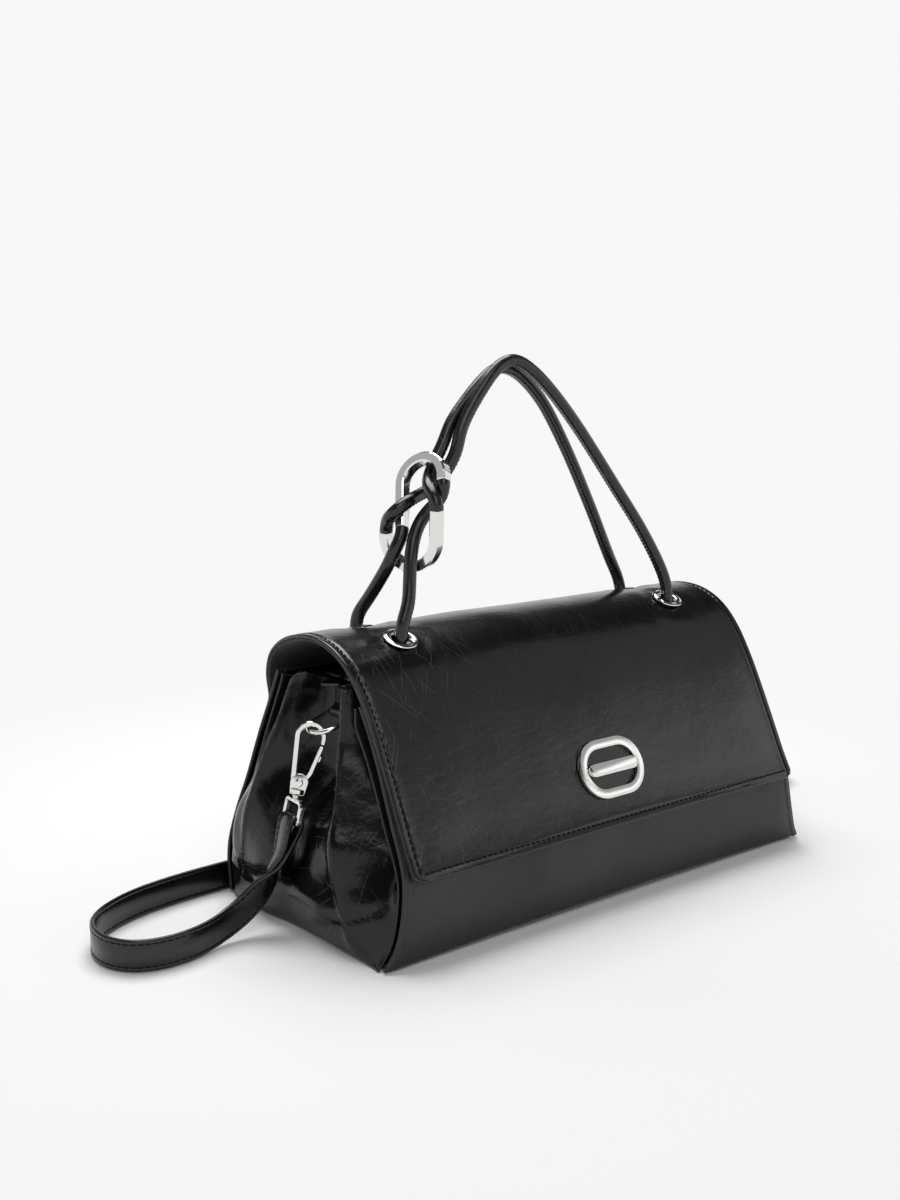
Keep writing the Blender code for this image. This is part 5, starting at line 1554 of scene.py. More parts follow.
        # Ridge and groove of the border painted paler, fading away from the left end: partly worn leather,
        # partly painted highlight
        rubbed_highlight = self.ridge_wear.at(edge, self.seam.crown) + self.groove_wear.at(edge, self.seam.inset)
        rubbed_highlight *= 1 - self.left_fade.amount + self.left_fade.at(left)
        return np.clip(np.maximum(np.minimum(general, self.most_wear), rubbed_highlight), 0, 1)

    def _sheet(self, nodes: tuple[str, ...], mesh: Mesh, finishes: tuple[Material, ...],
               slot: str) -> None:
        """Punch one layer for the eyelets."""
        width, reach = self.hole + self.barrel + GAP, self.punch_reach
        punch = [(0, -reach), (width, -reach), (width, reach), (0, reach)]
        cutters = [turned("punch", punch, self.eyelet_frame(x, y), self.punch_sides)
                   for _, x, y in self.eyelet_places()]
        piece = add(nodes[0] + "_sheet", pierced(mesh, cutters, len(finishes)), finishes, None, nodes)
        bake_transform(piece)

    def _sheets(self) -> None:
        """Build the outer leather, the lining and the rows of stitches."""
        f = self.finishes
        outer = self._grid(0.0, 0.0)
        wear = self._wear(outer)
        outer = outer.moved(self._relief(outer))
        lining = self._grid(self.outer, self.lining_inset)
        lining = lining.moved(self._sunk(lining))
        leather = outer.solid("flap_outer", self.outer, wear=wear)
        self._sheet(("flap_outer", "flap_hinge_strip"), leather, f.sheet, "leather")
        self._sheet(("flap_lining",), lining.solid("flap_lining", self.lining), f.lined, "lining")
        points, normal = outer.points, outer.normals()
        hinge, front, left, _ = outer.edge_distances()
        rows, cols = points.shape[:2]
        row = int(np.argmin(abs(front[:, cols // 2] - self.seam.inset)))
        column = int(np.argmin(abs(left[rows // 2] - self.seam.inset)))
        other = cols - 1 - column
        starts = (self.border_start, self.hinge_seam)
        first, low = (int(np.searchsorted(hinge[:, cols // 2], start)) for start in starts)
        lines = [(points[first:row + 1, c], normal[first:row + 1, c]) for c in (column, other)]
        lines.append((points[row, column:other + 1], normal[row, column:other + 1]))
        self.stitching.sew("flap", lines, f.thread, Body.FLAP.value)
        lines = [(points[low, column:other + 1], normal[low, column:other + 1])]
        self.stitching.sew("hinge", lines, f.thread)

    def _eyelet(self, name: str, frame: Matrix) -> None:
        """Build one rolled eyelet."""
        bore, wall, rim = self.hole, self.hole + self.barrel, self.flange
        crown, soft, roll = self.flange_height, self.flange_soft, self.flange_roll
        inward, upward = self.rim_roll_shares
        profile = [(bore, -self.barrel_drop), (wall, -self.barrel_drop), (wall, GAP), (rim - soft, GAP),
                   (rim, GAP + soft), (rim - roll * inward, GAP + roll * upward)]
        places = (rim - roll, (rim + bore) / 2 + soft, bore + roll, bore + soft, bore)
        profile += [(place, crown * share) for place, share in zip(places, self.crown_shares)]
        rolled = turned("eyelet", profile, frame)
        self.finishes.plated("rolled_eyelet_" + name, rolled, Body.FLAP.value, "eyelet_" + name)


@dataclass(frozen=True)
class Link:
    """Split link of the handle: half a ring with one long and one short leg."""

    name: str
    middle: Place
    across_way: Place
    upward_way: Place
    width: float
    legs: Pair
    wall: float = 0.0050
    depth: float = 0.0068
    chamfer: float = 0.0007
    end_share: float = 0.93
    leg_steps: int = 6
    arch_steps: int = 40

    @property
    def across(self) -> Vector:
        """Direction from the first leg to the second."""
        return Vector(self.across_way).normalized()

    @property
    def upward(self) -> Vector:
        """Direction from the legs to the arch."""
        way = Vector(self.upward_way)
        return (way - self.across * way.dot(self.across)).normalized()

    @property
    def radius(self) -> float:
        """Radius of the arch's middle line."""
        return (self.width - self.wall) / 2

    def end(self, side: int, beyond: float = 0.0) -> Vector:
        """Point on a leg's axis, at its end or beyond it."""
        leg = self.legs[0 if side < 0 else 1]
        return Vector(self.middle) + self.across * self.radius * side - self.upward * (leg + beyond)

    def mesh(self) -> Mesh:
        """Solid of the link with cut corners and ends."""
        line = [self.end(-1, -self.legs[0] * k / self.leg_steps) for k in range(self.leg_steps)]
        for angle in np.linspace(math.pi, 0, self.arch_steps + 1):
            way = self.across * math.cos(angle) + self.upward * math.sin(angle)
            line.append(Vector(self.middle) + way * self.radius)
        line += [self.end(1, -self.legs[1] * (1 - (k + 1) / self.leg_steps)) for k in range(self.leg_steps)]
        frames = frames_along(np.array(line), lambda i: self.across.cross(self.upward))
        last = len(frames) - 1
        full = chamfered(self.depth, self.wall, self.chamfer)

        def section(index: int) -> Outline:
            return shrunk(full, self.end_share) if index in (0, last) else full

        return swept(self.name, frames, section, sharp=METAL_SHARP)


@dataclass
class Handle:
    """Knotted cords and the two links that they end in."""

    shape: BagShape
    finishes: Finishes
    flap: Flap
    radius: float = 0.00325
    tail: float = 0.0066
    lead: float = 0.0044
    ring_step: float = 0.0005
    sides: int = 24
    eased: float = 0.0036
    seam_side: Place = (-0.010, 0.006, 0.165)
    seam_pitch: float = 0.0023
    seam_depth: float = 0.22
    seam_width: float = 0.28
    seam_between: float = 0.3
    lip_angle: float = 0.55
    lip_width: float = 0.26
    lip_height: float = 0.07
    wear: float = 0.30
    # Lips between the seam's ticks, painted paler: partly worn leather, partly a painted highlight that
    # brings out the ticks
    lip_wear: float = 0.55
    upper: Link = Link("handle_link_upper", (-0.0704, 0.0025, 0.2101), (0.359, -0.893, 0.261),
                       (0.309, 0.379, 0.871), 0.0290, (0.0220, 0.0030))
    lower: Link = Link("handle_link_lower", (-0.0798, 0.0002, 0.1835), (0.331, -0.947, -0.057),
                       (0.071, -0.086, -0.994), 0.0340, (0.0004, 0.0145))
    front_long: Route = (
        (0.0913, -0.0095, 0.1528), (0.0771, -0.0075, 0.1755), (0.0576, -0.0050, 0.2008),
        (0.0285, -0.0020, 0.2366), (0.0117, 0.0, 0.2545), (0.0009, 0.0015, 0.2637), (-0.0100, 0.0026, 0.2690),
        (-0.0170, 0.0030, 0.2678), (-0.0239, 0.0030, 0.2632), (-0.0316, 0.0030, 0.2547),
        (-0.0392, 0.0030, 0.2451), (-0.0464, 0.0025, 0.2339), (-0.0493, 0.0022, 0.2238),
        (-0.0534, 0.0038, 0.2158), (-0.0560, 0.0064, 0.2106), (-0.0598, 0.0077, 0.2070),
        (-0.0658, 0.0072, 0.2038), (-0.0738, 0.0046, 0.2023), (-0.0800, 0.0032, 0.2002),
        (-0.0850, 0.0034, 0.1975), (-0.0873, 0.0068, 0.1940))
    rear_long: Route = (
        (0.0843, 0.0240, 0.1568), (0.0643, 0.0210, 0.1885), (0.0379, 0.0160, 0.2251),
        (0.0176, 0.0130, 0.2490), (0.0013, 0.0110, 0.2611), (-0.0082, 0.0099, 0.2647),
        (-0.0157, 0.0096, 0.2650), (-0.0232, 0.0096, 0.2608), (-0.0304, 0.0095, 0.2549),
        (-0.0378, 0.0099, 0.2473), (-0.0472, 0.0092, 0.2374), (-0.0532, 0.0078, 0.2276),
        (-0.0566, 0.0084, 0.2216), (-0.0602, 0.0074, 0.2170), (-0.0644, 0.0044, 0.2135),
        (-0.0684, 0.0005, 0.2112), (-0.0722, -0.0040, 0.2088), (-0.0746, -0.0084, 0.2062))
    front_short: Route = (
        (-0.0930, -0.0103, 0.1450), (-0.0893, -0.0096, 0.1522), (-0.0867, -0.0073, 0.1610),
        (-0.0848, -0.0055, 0.1703), (-0.0819, -0.0036, 0.1799), (-0.0780, -0.0021, 0.1876),
        (-0.0734, -0.0022, 0.1940), (-0.0702, -0.0050, 0.1984), (-0.0684, -0.0088, 0.2022))
    rear_short: Route = (
        (-0.0922, 0.0240, 0.1470), (-0.0905, 0.0185, 0.1545), (-0.0891, 0.0113, 0.1642),
        (-0.0884, 0.0058, 0.1719), (-0.0867, 0.0039, 0.1780))

    def build(self) -> None:
        """Build the cords and links."""
        half, front, rear = self.flap.eyelet_half_spacing, self.flap.eyelet_front, self.flap.eyelet_rear
        cords = (("front_long", (half, front), self.front_long, self.lower, -1),
                 ("rear_long", (half, rear), self.rear_long, self.lower, 1),
                 ("front_short", (-half, front), self.front_short, self.upper, 1),
                 ("rear_short", (-half, rear), self.rear_short, self.upper, -1))
        for name, start, route, link, side in cords:
            self._cord(name, start, route, link, side)
        for link in (self.upper, self.lower):
            self.finishes.plated(link.name + "_polished", link.mesh(), Body.FLAP.value, link.name)

    def _cord(self, name: str, start: Pair, route: Route, link: Link, side: int) -> None:
        """Build one rolled cord with its sewn seam."""
        frame = self.shape.flap_frame(start[0], y=start[1])
        centre = frame.translation
        lean = (frame.to_3x3() @ Vector((0, 0, 1)) + Vector((0, 0, 1))).normalized()
        above = (lean + (Vector(route[0]) - centre).normalized()).normalized()
        points = [centre - lean * self.tail, centre, centre + above * self.tail, *map(Vector, route)]
        points += [link.end(side, self.lead), link.end(side, self.lead / 2), link.end(side, GAP)]
        line = evenly(smooth_line(points, steps=10), self.ring_step)
        line = relaxed(line, self.eased, (self.tail, self.lead / 2))
        frames = frames_along(line, lambda i: (Vector(self.seam_side) - Vector(line[i])).normalized())
        angles = np.linspace(0, 2 * math.pi, self.sides, endpoint=False)
        off = np.abs((angles + math.pi) % (2 * math.pi) - math.pi)
        beat = 0.5 + 0.5 * np.cos(2 * math.pi * run_lengths(line) / self.seam_pitch)[:, None]
        seam = -self.seam_depth * near(off, 0.0, self.seam_width)
        lip = near(off, self.lip_angle, self.lip_width) * beat
        beaten = self.seam_between + (1 - self.seam_between) * beat
        radii = self.radius * (1 + seam * beaten + self.lip_height * lip)
        sections = np.stack([radii * np.cos(angles), radii * np.sin(angles)], axis=2)
        mesh = swept(name, frames, lambda i: sections[i])
        # Lips between the seam's ticks painted paler: partly worn leather, partly a painted highlight that
        # brings out the ticks
        mark_wear_and_highlight(mesh, self.wear + self.lip_wear * lip.reshape(-1))
        node = "handle_cord_" + name
        add("rolled_cord_" + name, mesh, (self.finishes.cord,), Body.FLAP.value, (node,))


@dataclass
class Closure:
    """Plain ring and bar on the front of the flap."""

    shape: BagShape
    finishes: Finishes
    height: float = 0.0660
    length: float = 0.0440
    width: float = 0.0300
    thickness: float = 0.0022
    band: float = 0.0048
    bevel: float = 0.0004
    bar_width: float = 0.0070
    bar_thickness: float = 0.0038
    bar_bevel: float = 0.0011

    def build(self) -> None:
        """Build the ring and the bar."""
        inside = self.band * 2
        frame = self.shape.flap_frame(0.0, z=self.height)
        ring = plate("ring", frame, stadium(self.length, self.width), GAP, GAP + self.thickness, self.bevel,
                     stadium(self.length - inside, self.width - inside))
        self.finishes.plated("closure_ring_polished", ring, Body.FLAP.value, "closure_ring")
        bar = plate("bar", frame, stadium(self.length - inside - 2 * GAP, self.bar_width), GAP,
                    GAP + self.bar_thickness, self.bar_bevel)
        self.finishes.plated("closure_bar_polished", bar, Body.FLAP.value, "closure_bar")


def corners(node: str) -> tuple[Vector, Vector]:
    """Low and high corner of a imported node's box."""
    low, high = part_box(node)
    return Vector(low), Vector(high)


def refinished(node: str, finish: Material) -> None:
    """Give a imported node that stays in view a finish."""
    piece = bpy.data.objects[node]
    piece.data.materials.clear()
    piece.data.materials.append(finish)
    piece.data.shade_smooth()
    piece.data.set_sharp_from_angle(angle=math.radians(METAL_SHARP))


@dataclass
class Zip:
    """Zip of the middle compartment: facings, tapes, teeth and slider."""

    finishes: Finishes
    end_margins: tuple[float, ...] = (0, 0.0012, 0.003)
    side_margins: tuple[float, ...] = (0, 0.001, 0.002, 0.0026)
    column_step: float = 0.004
    row_step: float = 0.002
    seam_inset: float = 0.002
    seam_points: int = 60
    pitch: float = 0.0022
    tooth: Triple = (0.0011, 0.0024, 0.0018)
    tooth_shares: Shares = ((0.0, 1.0), (0.15, 0.85))
    tooth_sunk_share: float = 0.6
    mesh_shift_share: float = 0.45
    tape_thickness: float = 0.0008
    tape_columns: int = 90
    tape_rows: int = 8
    tape_rim: int = 4
    slider_width: float = 0.0080
    flange: float = 0.00075
    clear: float = 0.0001
    bail: float = 0.0028
    bail_drop: float = 0.0014
    post_length: float = 0.0024
    post_thickness: float = 0.0012
    bar_radius: float = 0.0006
    tab_bevel: float = 0.0004
    stitching: Stitching = Stitching(pitch=0.003, length=0.002, radius=0.00026)

    def build(self) -> None:
        """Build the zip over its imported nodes."""
        for word, side in (("front", -1), ("rear", 1)):
            self._facing("zip_facing_" + word, side)
            self._tape("zip_tape_" + word, side)
        self._slider()
        refinished("zip_puller", self.finishes.chrome)
        self._end_tab()

    def _facing(self, node: str, side: int) -> None:
        """Build one facing and its row of stitches."""
        f = self.finishes
        low, high = corners(node)
        cols = graded(high.x - low.x, self.end_margins, self.end_margins, self.column_step) + low.x
        rows = graded(high.y - low.y, self.side_margins, self.side_margins, self.row_step) + low.y
        grid = Grid.facing(np.array([[(x, y, high.z) for x in cols] for y in rows]), 2)
        add(node + "_leather", grid.solid(node, high.z - low.z), f.sheet, Body.BAG.value, (node,))
        inset = self.seam_inset
        seam = high.y - inset if side < 0 else low.y + inset
        places = np.linspace(low.x + inset, high.x - inset, self.seam_points)
        line = np.array([(x, seam, high.z) for x in places])
        up = np.tile((0.0, 0.0, 1.0), (len(line), 1))
        self.stitching.sew(node, [(line, up)], f.thread)

    def _end_tab(self) -> None:
        """Build the pointed tab at the end of the zip."""
        low, high = corners("zip_end_tab")
        middle, half = (low.y + high.y) / 2, (high.y - low.y) / 2
        outline = [(low.x, middle), (low.x + half, middle - half), (high.x, middle - half),
                   (high.x, middle + half), (low.x + half, middle + half)]
        tab = plate("tab", Matrix.Identity(4), outline, low.z, high.z, self.tab_bevel)
        add("zip_tab_leather", tab, (self.finishes.leather,), Body.BAG.value, ("zip_end_tab",))

    def _slider(self) -> None:
        """Build the slider: a plate with flanges round the teeth, and the bail that holds the puller."""
        low, high = corners("zip_slider")
        tape_low, tape_high = corners("zip_tape_front")
        middle = (low + high) / 2
        top = high.z - self.bail
        foot = tape_low.z + self.tape_thickness + self.clear
        under = tape_high.z + self.clear
        half = self.slider_width / 2
        inner = half - self.flange
        channel = [(-half, foot), (-inner, foot), (-inner, under), (inner, under), (inner, foot),
                   (half, foot), (half, top), (-half, top)]
        along = frame_of((0, middle.y, 0), (0, 1, 0), (0, 0, 1), (1, 0, 0))
        plated, body = self.finishes.plated, Body.SLIDER.value
        base = plate("slider", along, channel, low.x, high.x, self.clear)
        plated("zip_slider_plate", base, body, "zip_slider")
        long, thick = self.post_length, self.post_thickness
        tall = self.bail + self.clear
        for word, y in (("front", low.y + thick), ("rear", high.y)):
            place = frame_of((middle.x, y, high.z - tall / 2), (1, 0, 0), (0, 0, 1), (0, -1, 0))
            post = plate("post", place, soft_rectangle(long, tall, long / 4), 0, thick, self.clear)
            plated("zip_slider_post_" + word, post, body)
        across = frame_of((middle.x, middle.y, high.z - self.bail_drop), (1, 0, 0), (0, 0, 1), (0, -1, 0))
        reach = (high.y - low.y - thick) / 2
        rod = [(0, -reach), (self.bar_radius, -reach), (self.bar_radius, reach), (0, reach)]
        plated("zip_slider_bar", turned("bar", rod, across, sides=16), body)

    def _tape(self, node: str, side: int) -> None:
        """Build one tape and its row of teeth."""
        f = self.finishes
        low, high = corners(node)
        flat = self.tape_thickness
        cols = np.linspace(low.x, high.x, self.tape_columns)
        rows = np.linspace(low.y, high.y, self.tape_rows)
        grid = Grid.facing(np.array([[(x, y, low.z + flat) for x in cols] for y in rows]), 2)
        cloth = grid.solid(node, flat, self.tape_rim)
        add(node + "_cloth", cloth, (f.tape,) * 3, Body.BAG.value, (node,))
        length, width, tall = self.tooth
        inner = high.y if side < 0 else low.y
        outer = inner + side * width
        foot = low.z + flat * self.tooth_sunk_share
        shift = self.pitch * self.mesh_shift_share if side > 0 else 0.0
        tooth = tube_faces(4, 2)
        places, faces = [], []
        for x in np.arange(low.x + length, high.x - length, self.pitch) + shift:
            faces += [tuple(len(places) + v for v in face) for face in tooth]
            for (a, b), z in zip(self.tooth_shares, (foot, min(foot + tall, high.z))):
                quad = ((a, outer), (b, outer), (b, inner), (a, inner))
                places += [(x + share * length, y, z) for share, y in quad]
        teeth = mesh_of(node + "_teeth", np.array(places), faces, sharp=FINE_SHARP)
        f.plated(node + "_teeth", teeth, Body.BAG.value)


@dataclass
class SideRing:
    """D-ring and the leather tab that carries it."""

    finishes: Finishes
    wire: float = 0.0013
    inner: float = 0.0160
    reach: float = 0.0192
    bar: Place = (0.11904, 0.0040, 0.1010)
    drop: float = math.radians(19.2)
    bar_steps: int = 6
    bow_steps: int = 32
    wire_sides: int = 16
    tab_leather: float = 0.0013
    tab_clear: float = 0.0004
    tab_width: float = 0.0145
    tab_height: float = 0.0120
    ply_share: float = 1.02
    parting_share: float = 1.5
    wrap_start: float = 75.6
    wrap_steps: int = 21
    leg_steps: int = 5
    tab_step: float = 0.0006
    tab_thickness_share: float = 0.92
    tab_rim: int = 4
    column_shares: tuple[float, ...] = (-1, -0.9, -0.7, -0.3, 0.0, 0.3, 0.7, 0.9, 1)

    def build(self) -> None:
        """Build the ring and tab at both ends."""
        for side in Side:
            bar = Vector((side.value * self.bar[0], self.bar[1], self.bar[2]))
            self._ring(side, bar)
            self._tab(side, bar)

    def _ring(self, side: Side, bar: Vector) -> None:
        """Build one D-ring round the middle of its bar."""
        half = self.inner / 2 + self.wire
        out = Vector((side.value * math.cos(self.drop), 0, -math.sin(self.drop)))
        wide = Vector((0, 1, 0))
        line = [bar + wide * half * (k / self.bar_steps) for k in range(-self.bar_steps, self.bar_steps + 1)]
        bow = arc(self.reach - half, 0, half, 90, -180, self.bow_steps)
        line += [bar + out * x + wide * y for x, y in bow]
        facing = out.cross(wide)
        frames = frames_along(np.array(line), lambda i: facing, closed=True)
        mesh = swept("ring", frames, lambda i: circle(self.wire, self.wire_sides), closed=True)
        node = "d_ring_" + side.word
        self.finishes.plated(node + "_polished", mesh, "ring_" + side.word, node)

    def _tab(self, side: Side, bar: Vector) -> None:
        """Build one folded tab round a ring's bar."""
        bore = self.wire + self.tab_clear
        fold = bore + self.tab_leather
        middle = (bore + fold) / 2
        inner = self.tab_leather * self.ply_share - middle
        line = [(inner, self.tab_height), (inner, fold * self.parting_share)]
        line += arc(0, 0, middle, self.wrap_start, -180 - self.wrap_start, self.wrap_steps)
        line += [(-middle, self.tab_height * (k + 1) / self.leg_steps) for k in range(self.leg_steps)]
        flat = evenly(np.array([(x, y, 0.0) for x, y in line]), self.tab_step)
        places = [[(bar.x + side.value * x, bar.y + self.tab_width / 2 * share, bar.z + z)
                   for share in self.column_shares] for x, z, _ in flat]
        grid = Grid(np.array(places))
        grid = Grid(grid.points + grid.normals() * (self.tab_leather / 2))
        mesh = grid.solid("tab", self.tab_leather * self.tab_thickness_share, self.tab_rim)
        f = self.finishes
        node = "ring_tab_" + side.word
        add(node + "_leather", mesh, (f.leather, f.leather, f.edge), Body.BAG.value, (node,))


def upright(frame: Matrix, height: float) -> Matrix:
    """Frame at a height on another's Y axis, with its Z along that axis."""
    return frame @ Matrix.Translation((0, height, 0)) @ Matrix.Rotation(-math.pi / 2, 4, "X")


@dataclass
class Clip:
    """Swivel clips, their gates and the swivel eyes."""

    finishes: Finishes
    top: Place = (-0.13604, 0.0052, 0.0996)
    foot: Place = (-0.1500, 0.0045, 0.0495)
    across_way: Place = (0.769, -0.639, 0.0)
    wire: float = 0.0026
    depth: float = 0.0030
    chamfer: float = 0.0005
    loop: float = 0.0062
    loop_steps: int = 24
    leg_steps: int = 8
    nose_share: float = 0.8
    root_share: float = 0.9
    offset: float = 0.0012
    cheek: float = 0.0042
    cheek_steps: int = 19
    cheek_bevel: float = 0.0002
    rivet_drop: float = 0.0297
    body: float = 0.0355
    foot_half: float = 0.0035
    foot_cut: Pair = (0.0005, 0.0006)
    core_half: float = 0.0008
    core_shares: Pair = (1.1, 0.72)
    core_bevel: float = 0.0001
    collar_rise: float = 0.0016
    collar_bore: float = 0.0012
    collar_radius: float = 0.0036
    collar_half: float = 0.0012
    collar_cut: Pair = (0.0003, 0.0004)
    leg_x: float = -0.0028
    nose: float = 0.0100
    gate_thickness: float = 0.0021
    gate_foot: Pair = (0.0040, 0.0262)
    gate_root_shares: Pair = (0.3, 0.7)
    gate_tip_gap: float = 0.0009
    gate_steps: int = 6
    gate_round: float = 0.00045
    gate_depth_shares: Shares = ((0.0, 0.4), (0.22, 0.4), (0.32, 1.0), (0.97, 1.0), (1.0, 0.7))
    thumb_share: float = 0.62
    thumb: Triple = (0.0030, 0.0026, 0.0006)
    thumb_height: float = 0.0008
    thumb_sunk: float = 0.0003
    rivet_radius: float = 0.0011
    rivet_head: float = 0.0020
    rivet_dome: float = 0.0005
    rivet_edge: float = 0.0001
    dome_shares: Pair = (0.7, 0.75)
    slot_width: float = 0.0005
    slot_depth: float = 0.0004
    post_radius: float = 0.0021
    post_length: float = 0.0026
    post_sunk: float = 0.0004
    post_shares: Shares = ((1.25, 0.35), (0.8, 0.45), (0.8, 0.7), (1.0, 0.8), (1.0, 1.0), (0.0, 1.0))
    eye_inner: float = 0.0160
    eye_height: float = 0.0100
    eye_wire: float = 0.0013
    eye_depth_share: float = 1.05
    eye_chamfer: float = 0.0006
    eye_corner: float = 0.0026
    eye_steps: int = 8
    eye_turn: float = math.radians(63)

    def frame(self, side: Side) -> Matrix:
        """Frame of a clip: X across it, Y up from its loop's top, Z to its face."""
        up = (Vector(self.top) - Vector(self.foot)).normalized()
        across = Vector(self.across_way)
        across = (across - up * across.dot(up)).normalized()
        frame = frame_of(self.top, across, up, across.cross(up))
        return frame if side is Side.LEFT else Matrix.Diagonal((-1, 1, 1, 1)) @ frame

    def eye_frame(self, side: Side) -> Matrix:
        """Frame of a swivel eye, at its lower bar."""
        drop = self.body + GAP + self.post_length + self.eye_height
        return self.frame(side) @ Matrix.Translation((0, -drop, 0)) @ Matrix.Rotation(-self.eye_turn, 4, "Y")

    def build(self) -> None:
        """Build both clips."""
        for side in Side:
            self._body(side)
            self._gate(side)
            self._rivet(side)
            self._eye(side)

    def _add(self, piece: str, mesh: Mesh, side: Side, body: str | None = None, node: str = "") -> None:
        """Add one plated piece of a clip.

        Args:
            piece: Name of the piece without its side.
            mesh: Its mesh.
            side: Side of the clip.
            body: Body that it moves with, if not the clip's own.
            node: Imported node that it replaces, without its side.
        """
        word = side.word
        nodes = (f"{node}_{word}",) if node else ()
        self.finishes.plated(f"{piece}_{word}", mesh, body or f"clip_{word}", *nodes)

    def _body(self, side: Side) -> None:
        """Build the hooked frame, its cheeks and its ferrule."""
        frame = self.frame(side)
        hook = arc(self.offset, -self.loop - self.wire / 2, self.loop, 0, 180, self.loop_steps)
        line = [Vector((x, y, 0)) for x, y in [(self.offset + self.loop, -self.nose), *hook]]
        root = Vector((self.leg_x, -self.rivet_drop, 0))
        line += [line[-1].lerp(root, (k + 1) / self.leg_steps) for k in range(self.leg_steps)]
        frames = [frame @ m for m in frames_along(np.array(line), lambda i: Vector((0, 0, 1)))]
        ends = {0: self.nose_share, len(frames) - 1: self.root_share}
        full = chamfered(self.depth, self.wire, self.chamfer)
        hooked = swept("hook", frames, lambda i: shrunk(full, ends.get(i, 1.0)), sharp=METAL_SHARP)
        self._add("clip_hook", hooked, side, node="clip_body")
        half, low, (cut, rise) = self.foot_half, -self.body, self.foot_cut
        foot = [(-half, low + rise), (-half + cut, low), (half - cut, low), (half, low + rise)]
        outline = arc(0, -self.rivet_drop, self.cheek, 0, 180, self.cheek_steps) + foot
        core = self.core_half
        for z0, z1, word in ((-self.depth / 2, -core, "back"), (core, self.depth / 2, "face")):
            self._add("clip_cheek_" + word, plate("cheek", frame, outline, z0, z1, self.cheek_bevel), side)
        wide, drop = self.core_shares[0] * half, -self.rivet_drop - self.cheek * self.core_shares[1]
        middle = [(-wide, drop), *foot, (wide, drop)]
        self._add("clip_core", plate("core", frame, middle, -core, core, self.core_bevel), side)
        place = upright(frame, low + self.collar_rise)
        bore, radius, tall = self.collar_bore, self.collar_radius, self.collar_half
        cut, rise = self.collar_cut
        upper = [(radius, tall - rise), (radius - cut, tall), (bore, tall)]
        collar = [(r, -h) for r, h in reversed(upper)] + upper
        self._add("clip_collar", turned("collar", collar, place, sides=32), side)

    def _gate(self, side: Side) -> None:
        """Build the sprung gate with its thumb stub."""
        frame = self.frame(side)
        thick = self.gate_thickness
        tip = Vector((self.offset + self.loop, -self.nose - self.gate_tip_gap, 0))
        heel = Vector((self.gate_foot[0], -self.gate_foot[1], 0))
        lean = (tip - heel).normalized()
        outward = Vector((lean.y, -lean.x, 0))
        base = Vector((0, -self.rivet_drop, 0))
        points = [base.lerp(heel, share) for share in self.gate_root_shares]
        points += [(heel + lean * thick).lerp(tip, k / self.gate_steps) for k in range(self.gate_steps + 1)]
        line = smooth_line(points, steps=4)
        frames = [frame @ m for m in frames_along(line, lambda i: Vector((0, 0, 1)))]
        reach = run_lengths(line) / run_lengths(line)[-1]
        depths = self.depth * np.interp(reach, *zip(*self.gate_depth_shares))
        latch = swept("gate", frames, lambda i: soft_rectangle(depths[i], thick, self.gate_round, 2))
        body = "gate_" + side.word
        self._add("clip_latch", latch, side, body, "clip_gate")
        stub = heel.lerp(tip, self.thumb_share) + outward * thick * 0.5
        place = frame @ frame_of(stub, lean, Vector((0, 0, 1)), outward)
        thumb = plate("thumb", place, soft_rectangle(*self.thumb), -self.thumb_sunk, self.thumb_height,
                      self.thumb_sunk)
        self._add("clip_thumb", thumb, side, body)

    def _rivet(self, side: Side) -> None:
        """Build the domed, slotted rivet."""
        pin = self.frame(side) @ Matrix.Translation((0, -self.rivet_drop, 0))
        seat = self.depth / 2 + GAP
        top = seat + self.rivet_dome
        head, shank, edge = self.rivet_head, self.rivet_radius, self.rivet_edge
        back, face = self.dome_shares
        profile = [(0, -top), (head * back, -top), (head, -seat - edge), (head, -seat + GAP),
                   (shank, -seat + GAP), (shank, seat - GAP), (head, seat - GAP), (head, seat + edge),
                   (head * face, top), (0, top)]
        slot = soft_rectangle(self.slot_width, head * 4, self.slot_width / 4)
        cutter = plate("slot", pin, slot, top - self.slot_depth, top + GAP, self.slot_width / 10)
        rivet = turned("rivet", profile, pin, sides=32)
        self._add("clip_pin", pierced(rivet, [cutter], 0), side, node="clip_rivet")

    def _eye(self, side: Side) -> None:
        """Build the swivel eye with its post and shoulder."""
        local = self.eye_frame(side)
        high, corner = self.eye_height, self.eye_corner
        x, y = self.eye_inner / 2 + self.eye_wire - corner, high - corner
        line = []
        for a, b, start in ((x, y, 0), (-x, y, 90), (-x, corner, 180), (x, corner, 270)):
            line += [(p, q, 0.0) for p, q in arc(a, b, corner, start, 90, self.eye_steps)]
        frames = frames_along(np.array(line), lambda i: Vector((0, 0, 1)), closed=True)
        frames = [local @ frame for frame in frames]
        thick = 2 * self.eye_wire
        bar = chamfered(thick * self.eye_depth_share, thick, self.eye_chamfer)
        loop = swept("eye", frames, lambda i: bar, closed=True, sharp=METAL_SHARP)
        self._add("swivel_loop", loop, side, Body.BAG.value, "swivel_eye")
        radius, length, sunk = self.post_radius, self.post_length, self.post_sunk
        profile = [(0, -sunk), (radius * self.post_shares[0][0], -sunk / 2)]
        profile += [(radius * r, length * h) for r, h in self.post_shares]
        post = turned("post", profile, upright(local, high), sides=28)
        self._add("swivel_post", post, side, Body.BAG.value)


